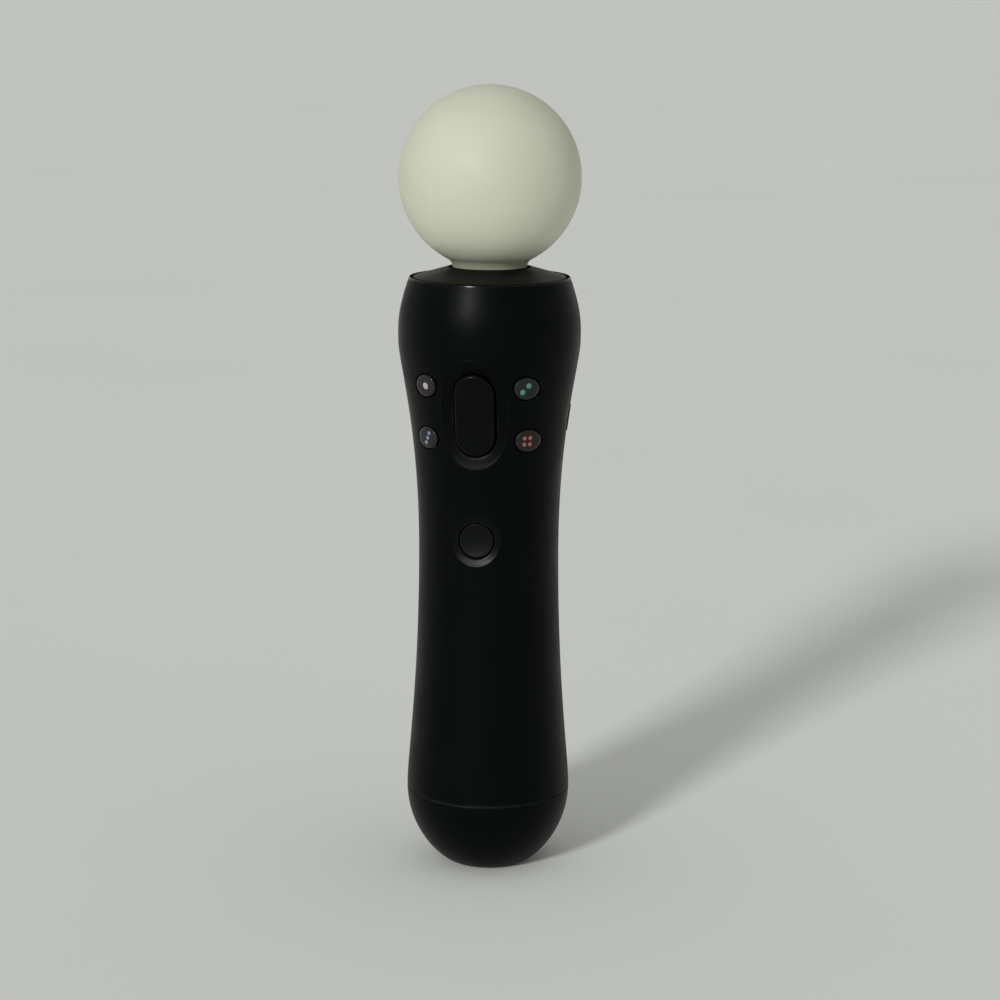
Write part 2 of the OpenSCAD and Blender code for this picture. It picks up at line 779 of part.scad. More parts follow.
module end_cap() {
    color(shell_black)
        difference() {
            union() {
                rotate_extrude()
                    polygon(concat(
                        [[0, 0]],
                        [for (p = foot_curve) if (p[1] < seam_z - edge_chamfer) p],
                        [
                            [belly_r, seam_z - edge_chamfer],
                            [belly_r - edge_chamfer, seam_z],
                            [collar_r, seam_z],
                            [collar_r, bead_z - bead_h / 2],
                            [bead_r, bead_z - bead_h / 2 + bead_chamfer],
                            [bead_r, bead_z + bead_h / 2 - bead_chamfer],
                            [collar_r, bead_z + bead_h / 2],
                            [collar_r, collar_top],
                            [collar_bore_r, collar_top]
                        ],
                        reversed(cap_bore),
                        [[0, floor_t]]
                    ));
                intersection() {
                    revolved_body(-floor_t / 2);
                    union() {
                        for (side = [-1, 1])
                            translate([side * port_boss_x, 0, 0])
                                cylinder(d = port_boss_d, h = port_z);
                        strap_block(strap_wall);
                    }
                }
            }
            strap_block(0);
            box([-usb_w / 2 - fit_gap, usb_w / 2 + fit_gap],
                [usb_y - usb_t / 2 - fit_gap, usb_y + usb_t / 2 + fit_gap], [-over, floor_t + over]);
            box([-ext_w / 2 - fit_gap, ext_w / 2 + fit_gap],
                [ext_y - ext_t / 2 - fit_gap, ext_y + ext_t / 2 + fit_gap], [-over, floor_t + over]);
            for (side = [-1, 1]) {
                translate([side * contact_x, usb_y, -over])
                    cylinder(d = contact_d + 2 * fit_gap, h = floor_t + 2 * over);
                translate([side * port_boss_x, 0, port_z - port_bite - over])
                    cylinder(d = small_pilot_d, h = port_bite + 2 * over);
            }
        }
    color(shell_black)
        x_rod(strap_y, strap_z, strap_bar_d, -strap_w / 2 - strap_wall / 2, strap_w / 2 + strap_wall / 2);
}

module strap_block(grow) {
    half_h = strap_bar_d / 2 + strap_room;
    box([-strap_w / 2 - grow, strap_w / 2 + grow],
        [strap_y - strap_bar_d / 2 - strap_room - grow, shoulder_r],
        [strap_z - half_h - grow, strap_z + half_h + grow]);
}

module top_plate() {
    hole_r = neck_r + fit_gap;
    pocket_r = flange_r + fit_gap;
    pocket_z = ledge_z + flange_t + fit_gap;
    color(plate_grey)
        difference() {
            rotate_extrude()
                polygon([
                    [pocket_r, ledge_z],
                    [plate_r, ledge_z],
                    [plate_r, body_h],
                    [hole_r, plate_top],
                    [hole_r, pocket_z],
                    [pocket_r, pocket_z]
                ]);
            for (side = [-1, 1])
                translate([side * seat_screw_r, 0, ledge_z - over])
                    cylinder(d = small_pilot_d, h = plate_t + over);
        }
}

// Light
module light_globe() {
    color(globe_ivory)
        difference() {
            union() {
                translate([0, 0, globe_z])
                    sphere(r = globe_r, $fn = 96);
                translate([0, 0, ledge_z])
                    cylinder(r = neck_r, h = globe_z - ledge_z);
                translate([0, 0, plate_top + fit_gap])
                    cylinder(r1 = neck_r, r2 = neck_r + flare_h, h = flare_h);
                translate([0, 0, ledge_z])
                    cylinder(r = flange_r, h = flange_t);
            }
            translate([0, 0, globe_z])
                sphere(r = globe_r - globe_wall, $fn = 96);
            translate([0, 0, ledge_z - over])
                cylinder(r = neck_bore_r, h = globe_z - ledge_z);
        }
}

module globe_seat() {
    color(globe_ivory)
        difference() {
            translate([0, 0, shelf_top])
                cylinder(r = seat_r, h = seat_t);
            translate([0, 0, shelf_top - over])
                cylinder(d = seat_hole_d, h = seat_t + 2 * over);
            for (side = [-1, 1]) {
                translate([side * seat_screw_r, 0, shelf_top - over])
                    cylinder(d = small_pilot_d, h = seat_t + 2 * over);
                translate([0, side * light_screw_r, shelf_top - over])
                    cylinder(d = small_pilot_d, h = seat_t + over - tip_gap);
            }
        }
}

module light_guide() {
    color([0.92, 0.94, 0.95])
        translate([0, 0, ledge_z])
            intersection() {
                cylinder(r = guide_r, h = guide_h);
                translate([0, 0, guide_h - guide_dome_r])
                    sphere(r = guide_dome_r);
            }
}

module light_board() {
    color(board_green)
        difference() {
            translate([0, 0, light_board_z])
                cylinder(r = light_board_r, h = board_t);
            for (side = [-1, 1])
                translate([0, side * light_screw_r, light_board_z - over])
                    cylinder(d = small_pilot_d, h = board_t + 2 * over);
        }
}

module color_led() {
    color("white")
        translate([-led_w / 2, -led_w / 2, shelf_top])
            cube([led_w, led_w, led_h]);
}

module light_ribbon() {
    color(ribbon_amber)
        box([ribbon_x, ribbon_x + ribbon_w], [board_front - ribbon_t, board_front],
            [board_high - ribbon_lap, light_board_z]);
}

module up_screw(seat_z, l) {
    translate([0, 0, seat_z])
        cylinder(d = small_screw_d, h = l);
    translate([0, 0, seat_z - head_h])
        cylinder(d = small_head_d, h = head_h);
}

module seat_screws() {
    color(steel)
        for (side = [-1, 1])
            translate([side * seat_screw_r, 0, 0])
                up_screw(shelf_top, seat_t + plate_t - tip_gap);
}

module light_board_screws() {
    color(steel)
        for (side = [-1, 1])
            translate([0, side * light_screw_r, 0])
                up_screw(light_board_z, board_t + seat_t - 2 * tip_gap);
}

// Front buttons
module stem(x, z, d, from_y, travel) {
    y_rod(x, z, d, from_y, dome_top(travel));
}

module center_button() {
    front = center_guide_y + seat_gap;
    color(cap_grey) {
        intersection() {
            revolved_body(cap_proud);
            y_prism(-shoulder_r - over, front + lip_t)
                translate([0, controls_z])
                    stadium(center_w, center_l);
        }
        y_prism(front, front + lip_t)
            translate([0, controls_z])
                stadium(center_w + 2 * lip_w, center_l + 2 * lip_w);
        stem(0, controls_z, stem_d + 2, front + lip_t, center_travel);
    }
}

module face_button(side, end) {
    z = controls_z + end * face_dz;
    tab_end_z = z + end * (face_d / 2 + button_gap + lip_w);
    tab_r = min(inner_r(z), inner_r(tab_end_z));
    tab_y = seat_gap - chord(tab_r, face_dx + tab_w / 2);
    back_y = min(tab_y + lip_t, dome_top(face_travel) - stem_least);
    color(cap_grey) {
        intersection() {
            revolved_body(cap_proud);
            y_rod(side * face_dx, z, face_d, -shoulder_r - over, back_y);
        }
        box([side * face_dx - tab_w / 2, side * face_dx + tab_w / 2],
            [tab_y, back_y], [min(z, tab_end_z), max(z, tab_end_z)]);
        stem(side * face_dx, z, stem_d, back_y, face_travel);
    }
}

module upper_left_button() { face_button(-1, 1); }
module upper_right_button() { face_button(1, 1); }
module lower_left_button() { face_button(-1, -1); }
module lower_right_button() { face_button(1, -1); }

module home_button() {
    front = home_guide_y + seat_gap;
    color(cap_grey) {
        difference() {
            y_rod(0, home_z, home_d, -home_r - over, front + lip_t);
            dish_cutter(home_proud);
        }
        y_rod(0, home_z, home_d + 2 * (button_gap + lip_w), front, front + lip_t);
        stem(0, home_z, stem_d, front + lip_t, home_travel);
    }
}

module side_button(side) {
    mirror([side < 0 ? 1 : 0, 0, 0])
        color(cap_grey) {
            intersection() {
                revolved_body(side_proud);
                x_prism(side_flange_x - lip_t, shoulder_r + over)
                    translate([side_y, side_z])
                        stadium(side_w, side_l);
            }
            x_prism(side_flange_x - lip_t, side_flange_x)
                translate([side_y, side_z])
                    stadium(side_w + 2 * lip_w, side_l + 2 * lip_w);
            x_rod(side_y, side_z, side_w - 2 * side_step, side_stem_end, side_flange_x);
        }
}

module left_side_button() { side_button(-1); }
module right_side_button() { side_button(1); }

module dome(x, z, d, travel) {
    translate([x, web_front, z])
        rotate([90, 0, 0])
            cylinder(d1 = d, d2 = stem_d, h = dome_floor + travel);
}

module button_membrane() {
    color(rubber_grey) {
        y_prism(web_front, board_front) {
            translate([-wing_half + web_inset, wing_low + web_inset])
                square([2 * (wing_half - web_inset),
                    controls_z + face_dz + face_d / 2 - wing_low - web_inset]);
            translate([-home_d / 2 - web_rim, home_z - home_d / 2 - web_rim])
                square([home_d + 2 * web_rim, wing_low + over - home_z + home_d / 2 + web_rim]);
        }
        for (side = [-1, 1], end = [-1, 1])
            dome(side * (face_dx - web_inset), controls_z + end * face_dz, face_d - web_inset, face_travel);
        dome(0, controls_z, stem_d + 2 * dome_spread, center_travel);
        dome(0, home_z, stem_d + dome_spread, home_travel);
    }
}

module side_switches() {
    color(chip_black)
        for (side = [-1, 1])
            mirror([side < 0 ? 1 : 0, 0, 0])
                box([cheek_x + cheek_t, cheek_x + cheek_t + switch_h],
                    [side_y - switch_w / 2, side_y + switch_w / 2],
                    [side_z - switch_l / 2, side_z + switch_l / 2]);
}

// Main board
module board_outline() {
    translate([-core_half, board_low])
        square([2 * core_half, board_high - board_low]);
    translate([-wing_half, wing_low])
        square([2 * wing_half, board_high - wing_low]);
}

module main_board() {
    color(board_green)
        difference() {
            y_prism(board_front, board_back)
                board_outline();
            for (spot = board_screw_spots)
                y_rod(spot[0], spot[1], small_pilot_d, board_front - over, board_back + over);
        }
}

module board_chip(at, w, l, h) {
    box([at[0] - w / 2, at[0] + w / 2], [board_front - h, board_front], [at[1] - l / 2, at[1] + l / 2]);
}

module processor_chip() {
    color(chip_black)
        board_chip(processor_at, processor_w, processor_w, chip_h);
}

module radio_module() {
    color(steel)
        board_chip(radio_at, radio_w, radio_l, radio_h);
}

module motion_sensors() {
    color(chip_black) {
        board_chip(tilt_at, tilt_w, tilt_w, chip_h);
        board_chip(gyro_at, gyro_w, gyro_w, chip_h);
        board_chip(compass_at, compass_w, compass_w, chip_h);
    }
}

module board_connectors() {
    color([0.90, 0.88, 0.80]) {
        board_chip(cell_plug_at, cell_plug_w, cell_plug_l, plug_h);
        board_chip(light_plug_at, light_plug_w, light_plug_l, plug_h);
    }
}

module board_screws() {
    color(steel)
        for (spot = board_screw_spots)
            y_screw(spot[0], spot[1], board_front, small_screw_d, board_screw_l, small_head_d, 1);
}

// Inner frame, clamped between the front and rear screw bosses
module inner_frame() {
    color(frame_grey)
        difference() {
            union() {
                y_prism(board_back, frame_back) {
                    translate([-core_half, frame_low])
                        square([2 * core_half, frame_high - frame_low]);
                    for (spot = boss_spots) {
                        translate(spot)
                            circle(d = rear_boss_d);
                        translate([min(0, spot[0]), spot[1] - 2])
                            square([abs(spot[0]), 4]);
                    }
                }
                for (spot = board_screw_spots)
                    y_rod(spot[0], spot[1], post_d, board_back, frame_back + post_h);
                for (spot = rear_screw_spots)
                    y_rod(spot[0], spot[1], post_d, board_back, rear_board_y);
                for (side = [-1, 1])
                    mirror([side < 0 ? 1 : 0, 0, 0]) {
                        box([core_half - tray_t, core_half], [board_back, tray_back],
                            [battery_low - tray_t, battery_high + tray_t]);
                        box([cheek_x, cheek_x + cheek_t], [board_back, side_y + side_w],
                            [side_z - side_l / 2 - over, side_z + side_l / 2 + over]);
                    }
                for (z = [battery_low - fit_gap - tray_t, battery_high + fit_gap])
                    box([-core_half, core_half], [board_back, tray_back], [z, z + tray_t]);
                box([-motor_d / 2 - saddle_t, motor_d / 2 + saddle_t], [board_back, motor_y + saddle_hold],
                    [motor_z + saddle_inset, motor_top - saddle_inset]);
            }
            translate([0, motor_y, motor_z - over])
                cylinder(d = motor_d + 2 * fit_gap, h = motor_l + 2 * over);
            for (spot = boss_spots)
                y_rod(spot[0], spot[1], pilot_d, board_back - over, frame_back + over);
            for (spot = board_screw_spots)
                y_rod(spot[0], spot[1], small_pilot_d, board_back - over, frame_back + post_h + over);
            for (spot = rear_screw_spots)
                y_rod(spot[0], spot[1], small_pilot_d, rear_board_y - rear_bite - over, rear_board_y + over);
        }
}

module battery_cell() {
    color([0.30, 0.42, 0.62])
        box([-battery_half, battery_half], [frame_back, battery_back], [battery_low, battery_high]);
}

module battery_leads() {
    color([0.75, 0.12, 0.10])
        for (side = [-1, 1])
            translate([side * lead_x, rear_board_y - lead_d / 2 - run_gap, battery_high])
                cylinder(d = lead_d, h = rear_board_low + lead_lap - battery_high);
}

// Trigger
module trigger_side() {
    polygon([
        [pivot_y, pivot_z + barrel_r + over],
        [shoulder_r + over, pivot_z + barrel_r + over],
        [shoulder_r + over, tip_z - over],
        [trigger_inner, tip_z - over],
        [trigger_inner - hub_lean, pivot_z - hub_drop],
        [pivot_y - hub_r, pivot_z]
    ]);
    translate([pivot_y, pivot_z])
        circle(r = hub_r);
}

// The trigger's face curves round the wand's axis, as the body behind it does
module trigger_face() {
    rotate_extrude()
        polygon(concat(
            [
                [0, tip_z],
                [tip_y - tip_round, tip_z],
                [tip_y - tip_round * 0.3, tip_z + tip_round * 0.3]
            ],
            reversed(finger_curve),
            [for (a = [10:10:90]) [pivot_y + barrel_r * cos(a), pivot_z + barrel_r * sin(a)]],
            [[0, pivot_z + barrel_r]]
        ));
}

module trigger() {
    pocket_half = trigger_half - trigger_cheek;
    spring_room = spring_half + wire_d / 2 + pocket_play;
    color(cap_grey) {
        difference() {
            intersection() {
                x_prism(-trigger_half, trigger_half)
                    trigger_side();
                trigger_face();
            }
            x_prism(-pocket_half, pocket_half)
                polygon(concat(
                    [for (p = finger_curve)
                        if (p[1] < pivot_z - barrel_r && p[1] > tip_z + tip_t) [p[0] - trigger_face_t, p[1]]],
                    [[0, tip_z + tip_t], [0, pivot_z - barrel_r]]
                ));
            x_rod(pivot_y, pivot_z, 2 * spring_pocket_r, -spring_room, spring_room);
            box([-spring_room, spring_room], [pivot_y - barrel_r, pivot_y],
                [pivot_z - barrel_r - over, pivot_z + spring_pocket_r]);
            x_rod(pivot_y, pivot_z, pin_d + 2 * run_gap, -trigger_half - over, trigger_half + over);
        }
        y_rod(0, nub_z, stem_d, nub_end_y, nub_root_y);
    }
}

module trigger_pin() {
    color(steel)
        x_rod(pivot_y, pivot_z, pin_d, pin_end_gap - pin_half, pin_half - pin_end_gap);
}

// Points of the spring's wire: a leg on the rear board, the turns round the pin, a short leg on the trigger
spring_steps = 8;
spring_count = spring_turns * spring_steps;
spring_anchor = [rear_board_back + wire_d / 2 + run_gap - pivot_y, rear_board_high - over - pivot_z];
spring_start = atan2(spring_anchor[1], spring_anchor[0]) + acos(spring_r / norm(spring_anchor));
spring_leg = 1.2;
spring_route = concat(
    [[-spring_half, spring_anchor[0], spring_anchor[1]]],
    [for (i = [0:spring_count])
        let (a = spring_start + 360 * i / spring_steps, x = spring_half * (2 * i / spring_count - 1))
            [x, spring_r * cos(a), spring_r * sin(a)]],
    [[spring_half, spring_r * cos(spring_start) - spring_leg * sin(spring_start),
        spring_r * sin(spring_start) + spring_leg * cos(spring_start)]]
);

function unit(v) = v / norm(v);
function route_direction(points, i) =
    unit(points[min(i + 1, len(points) - 1)] - points[max(i - 1, 0)]);

module swept_wire(points, d, sides) {
    count = len(points);
    rings = [for (i = [0:count - 1])
        let (dir = route_direction(points, i),
            across = unit(cross(dir, [dir[0] > 0.9 ? 0 : 1, dir[0] > 0.9 ? 1 : 0, 0])),
            up = cross(dir, across))
            for (k = [0:sides - 1])
                points[i] + d / 2 * (cos(360 * k / sides) * across + sin(360 * k / sides) * up)];
    walls = [for (i = [0:count - 2], k = [0:sides - 1])
        let (a = i * sides + k, b = i * sides + (k + 1) % sides)
            each [[a, a + sides, b], [b, a + sides, b + sides]]];
    first_cap = [for (k = [1:sides - 2]) [0, k, k + 1]];
    last = (count - 1) * sides;
    last_cap = [for (k = [1:sides - 2]) [last, last + k + 1, last + k]];
    polyhedron(rings, concat(walls, first_cap, last_cap));
}

module trigger_spring() {
    color(steel)
        translate([0, pivot_y, pivot_z])
            swept_wire(spring_route, wire_d, 6);
}

module rear_board() {
    color(board_green)
        difference() {
            box([-rear_board_half, rear_board_half], [rear_board_y, rear_board_back],
                [rear_board_low, rear_board_high]);
            for (spot = rear_screw_spots)
                y_rod(spot[0], spot[1], small_pilot_d, rear_board_y - over, rear_board_back + over);
        }
}

module trigger_dome() {
    color(rubber_grey) {
        box([-dome_pad / 2, dome_pad / 2], [rear_board_back, rear_board_back + web_t],
            [nub_z - dome_pad / 2, nub_z + dome_pad / 2]);
        translate([0, rear_board_back + web_t, nub_z])
            rotate([-90, 0, 0])
                cylinder(d1 = stem_d + dome_flare, d2 = stem_d, h = dome_h - web_t);
    }
}

module rear_board_screws() {
    color(steel)
        for (spot = rear_screw_spots)
            y_screw(spot[0], spot[1], rear_board_back, small_screw_d, board_t + rear_bite, small_head_d, -1);
}

module reset_switch() {
    color(chip_black)
        box([-reset_switch_w / 2, reset_switch_w / 2], [rear_board_back, rear_board_back + reset_switch_h],
            [reset_z - reset_switch_w / 2, reset_z + reset_switch_w / 2]);
}

module reset_plunger() {
    color(cap_grey) {
        y_rod(0, reset_z, reset_d, rear_board_back + reset_switch_h + reset_travel + reset_gap,
            body_r(reset_z) - reset_sunk);
        y_rod(0, reset_z, reset_flange_d, reset_flange_y - lip_t, reset_flange_y);
    }
}

// Vibration motor
module motor_can() {
    color(steel)
        difference() {
            translate([0, motor_y, motor_z])
                cylinder(d = motor_d, h = motor_l);
            translate([0, motor_y, motor_z - over])
                cylinder(d = shaft_d + 2 * run_gap, h = motor_l / 2 + over);
        }
}

module motor_shaft() {
    color(steel)
        translate([0, motor_y, weight_z])
            cylinder(d = shaft_d, h = weight_l + motor_l / 2);
}

module eccentric_weight() {
    color(gold)
        difference() {
            translate([0, motor_y, weight_z])
                union() {
                    rotate_extrude(angle = 180)
                        square([weight_d / 2, weight_l]);
                    cylinder(d = shaft_d + 2, h = weight_l);
                }
            translate([0, motor_y, weight_z - over])
                cylinder(d = shaft_d + 2 * run_gap, h = weight_l + 2 * over);
        }
}

// Base sockets
module port_board() {
    color(board_green)
        difference() {
            translate([0, 0, port_z])
                cylinder(r = port_r, h = board_t);
            box([-port_r, port_r], [port_board_cut_y, port_r + over],
                [port_z - over, port_z + board_t + over]);
            for (side = [-1, 1])
                translate([side * port_boss_x, 0, port_z - over])
                    cylinder(d = small_pilot_d, h = board_t + 2 * over);
        }
}

module socket(w, t, y, tongue_t) {
    difference() {
        box([-w / 2, w / 2], [y - t / 2, y + t / 2], [socket_low, port_z]);
        box([-w / 2 + socket_wall, w / 2 - socket_wall], [y - t / 2 + socket_wall, y + t / 2 - socket_wall],
            [socket_low - over, port_z - socket_back]);
    }
    box([-w / 2 + tongue_inset, w / 2 - tongue_inset], [y - tongue_t / 2, y + tongue_t / 2],
        [socket_low + tongue_sunk, port_z - socket_back / 2]);
}

module usb_socket() {
    color(steel)
        socket(usb_w, usb_t, usb_y, usb_tongue_t);
}

module extension_socket() {
    color(chip_black)
        socket(ext_w, ext_t, ext_y, ext_tongue_t);
}

module charge_contacts() {
    color(gold)
        for (side = [-1, 1])
            translate([side * contact_x, usb_y, 0]) {
                translate([0, 0, contact_sunk])
                    cylinder(d = contact_d, h = floor_t);
                translate([0, 0, floor_t + run_gap])
                    cylinder(d = contact_d + 2 * contact_step, h = 2 * contact_step);
                translate([0, 0, floor_t])
                    cylinder(d = contact_d - 2 * contact_step, h = port_z - floor_t);
            }
}

module port_ribbon() {
    color(ribbon_amber)
        box([-ribbon_w - chip_gap, -chip_gap], [board_front - ribbon_t, board_front],
            [port_z + board_t, chips_low]);
}

module port_board_screws() {
    color(steel)
        for (side = [-1, 1])
            translate([side * port_boss_x, 0, port_z + board_t]) {
                cylinder(d = small_head_d, h = head_h);
                translate([0, 0, -board_t - port_bite])
                    cylinder(d = small_screw_d, h = board_t + port_bite);
            }
}

module case_screws() {
    color(steel)
        for (spot = boss_spots)
            y_screw(spot[0], spot[1], head_seat_y, case_screw_d, case_screw_l, case_head_d, -1);
}

front_shell();
rear_shell();
end_cap();
top_plate();
light_globe();
globe_seat();
light_guide();
light_board();
color_led();
light_ribbon();
seat_screws();
light_board_screws();
center_button();
upper_left_button();
upper_right_button();
lower_left_button();
lower_right_button();
home_button();
left_side_button();
right_side_button();
button_membrane();
side_switches();
main_board();
processor_chip();
radio_module();
motion_sensors();
board_connectors();
board_screws();
inner_frame();
battery_cell();
battery_leads();
trigger();
trigger_pin();
trigger_spring();
rear_board();
trigger_dome();
rear_board_screws();
reset_switch();
reset_plunger();
motor_can();
motor_shaft();
eccentric_weight();
port_board();
usb_socket();
extension_socket();
charge_contacts();
port_ribbon();
port_board_screws();
case_screws();
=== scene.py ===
"""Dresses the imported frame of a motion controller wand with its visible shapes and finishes.

Sizes are in millimetres on the frame's own axes: +Z runs up the wand and -Y is its button side.
Meshes are written in metres.
"""

import logging
import math
from bisect import bisect_right
from collections.abc import Callable, Mapping, Sequence
from dataclasses import dataclass, field, replace
from enum import Enum
from functools import cached_property

import bmesh
import bpy
from mathutils import Matrix, Vector
from mathutils.geometry import delaunay_2d_cdt
from mathutils.kdtree import KDTree


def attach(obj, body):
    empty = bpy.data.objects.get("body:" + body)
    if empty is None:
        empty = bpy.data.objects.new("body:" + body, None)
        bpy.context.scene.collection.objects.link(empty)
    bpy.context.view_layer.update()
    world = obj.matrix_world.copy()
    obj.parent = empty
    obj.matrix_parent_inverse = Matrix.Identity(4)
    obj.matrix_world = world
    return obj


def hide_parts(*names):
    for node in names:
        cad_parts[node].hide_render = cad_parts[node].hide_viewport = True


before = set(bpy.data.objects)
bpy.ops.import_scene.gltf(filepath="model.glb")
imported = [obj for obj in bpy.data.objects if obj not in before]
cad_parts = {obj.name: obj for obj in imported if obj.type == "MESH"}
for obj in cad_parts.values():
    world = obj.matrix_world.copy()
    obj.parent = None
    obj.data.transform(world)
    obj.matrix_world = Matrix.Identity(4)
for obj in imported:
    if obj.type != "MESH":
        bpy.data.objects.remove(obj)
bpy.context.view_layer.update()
LOG = logging.getLogger("wand")

Flat = tuple[float, float]
Point = tuple[float, float, float]
Ring = list[Point]
Rgb = tuple[int, int, int]
Tree = bpy.types.NodeTree
Socket = bpy.types.NodeSocket
Inputs = Mapping[str | int, object]

MM = 0.001
FULL_TURN = 2 * math.pi
QUARTER_TURN = math.pi / 2
# Radius at which angles round the wand are laid flat as arcs.
WRAP = 20.0
# Steps of a search for a zero.
HALVINGS = 40
# Points nearer than this, in metres, are one.
MERGE = 3e-6
# Angles in degrees past which an edge stays sharp: drawn pieces, turned pieces and small parts.
CREASE, TURNED_CREASE, SMALL_CREASE = 40.0, 35.0, 30.0
# Room between a sheet's border and its inner points, as a share of their spacing.
BORDER_ROOM = 0.45
# The triangulation's choice of faces inside the border, and its tolerance.
FACES_INSIDE, TOUCH = 1, 1e-7
# Radius of the circle that an outline is swept along to turn it.
CORE = 0.5
# Point attributes: how far a point stands out, and which way a repeated part points.
STAND_OUT, OUTWARD = "stand_out", "outward"
# Part of a noise's values that is stretched to the full range.
NOISE_RANGE: Flat = (0.3, 0.7)
# Places of the colour sockets on a mix node.
MIX_SHARE, MIX_FIRST, MIX_SECOND, MIX_RESULT = 0, 6, 7, 2
FLOAT, COLOUR = "NodeSocketFloat", "NodeSocketColor"


def spread(first: float, last: float, spans: int) -> list[float]:
    """Evenly spaced values over a number of spans, both ends included."""
    return [first + (last - first) * i / spans for i in range(spans + 1)]


def arc(middle: Flat, r: float, first: float, last: float, spans: int) -> list[Flat]:
    """Points of an arc about a middle, from one angle to another."""
    return [(middle[0] + r * math.cos(t), middle[1] + r * math.sin(t)) for t in spread(first, last, spans)]


def circle(r: float, z: float, count: int, start: float = 0.0) -> Ring:
    """Points round the Z axis at a radius and a height."""
    return [(x, y, z) for x, y in arc((0.0, 0.0), r, start, start + FULL_TURN, count)[:-1]]


def border(low: Flat, high: Flat, across: int, up: int) -> list[Flat]:
    """Points round a rectangle, from its low corner.

    Args:
        low: Its low corner.
        high: Its high corner.
        across: Spans along its bottom and its top.
        up: Spans along each side.

    Returns:
        The points in order.
    """
    xs = spread(low[0], high[0], across)[:-1]
    ys = spread(low[1], high[1], up)[:-1]
    return ([(x, low[1]) for x in xs] + [(high[0], y) for y in ys]
            + [(low[0] + high[0] - x, high[1]) for x in xs]
            + [(low[0], low[1] + high[1] - y) for y in ys])


def bezier(a: Flat, b: Flat, c: Flat, d: Flat, steps: int) -> list[Flat]:
    """Points of a cubic curve.

    Args:
        a: First end.
        b: Handle of the first end.
        c: Handle of the last end.
        d: Last end.
        steps: Number of spans.

    Returns:
        The curve's points, both ends included.
    """
    points = []
    for t in spread(0.0, 1.0, steps):
        weights = ((1 - t) ** 3, 3 * t * (1 - t) ** 2, 3 * t * t * (1 - t), t ** 3)
        points.append(tuple(sum(w * p[k] for w, p in zip(weights, (a, b, c, d))) for k in (0, 1)))
    return points


def arc_lengths(curve: Sequence[Flat]) -> list[float]:
    """Distance along a curve at each of its points.

    Args:
        curve: Points of the curve.

    Returns:
        The distances, from 0.
    """
    marks = [0.0]
    for a, b in zip(curve, curve[1:]):
        marks.append(marks[-1] + math.dist(a, b))
    return marks


def lookup(keys: Sequence[float], values: Sequence[float], at: float) -> float:
    """Straight-line reading of a table.

    Args:
        keys: Keys of the table, which rise.
        values: A value for each key.
        at: Key to read at; past either end, the end's value holds.

    Returns:
        The value there.
    """
    i = min(max(bisect_right(keys, at), 1), len(keys) - 1)
    span = keys[i] - keys[i - 1]
    share = (at - keys[i - 1]) / span if span else 0.0
    return values[i - 1] + (values[i] - values[i - 1]) * min(max(share, 0.0), 1.0)


def soft_min(a: float, b: float, blend: float) -> float:
    """The lesser of two values, rounded where they cross."""
    share = max(blend - abs(a - b), 0.0) / blend
    return min(a, b) - share * share * blend / 4


def root(low: float, high: float, rises: Callable[[float], float]) -> float:
    """Finds the zero of a rising function by halving.

    Args:
        low: Value below the zero.
        high: Value above the zero.
        rises: The function.

    Returns:
        The zero.
    """
    for _ in range(HALVINGS):
        middle = (low + high) / 2
        if rises(middle) < 0:
            low = middle
        else:
            high = middle
    return (low + high) / 2


def within(spot: Vector, loop: Sequence[Flat]) -> bool:
    """Tells whether a flat point lies inside a closed loop.

    Args:
        spot: The point.
        loop: Points of the loop.

    Returns:
        True inside the loop.
    """
    x, y = spot
    inside = False
    last = loop[-1]
    for here in loop:
        if (here[1] > y) != (last[1] > y):
            if x < here[0] + (y - here[1]) * (last[0] - here[0]) / (last[1] - here[1]):
                inside = not inside
        last = here
    return inside


def quarter(count: int) -> list[Flat]:
    """Steps of a quarter-round edge as (share grown, share sunk), from the face to the wall."""
    return [(1 - math.sin(t), 1 - math.cos(t)) for t in spread(0.0, QUARTER_TURN, count)]


# Steps of a hole's rounded edge, from a ring on the face outside it.
HOLE_EDGE = [(2.0, 0.0)] + quarter(4)


class Facing(Enum):
    """Side of the wand that a control looks out of."""

    FRONT = (0.0, -1.0)
    REAR = (0.0, 1.0)
    LEFT = (-1.0, 0.0)
    RIGHT = (1.0, 0.0)

    def point(self, across: float, out: float, z: float) -> Point:
        """Point at a distance across and out from the wand's axis."""
        x, y = self.value
        return (across, out * y, z) if x == 0 else (out * x, across, z)


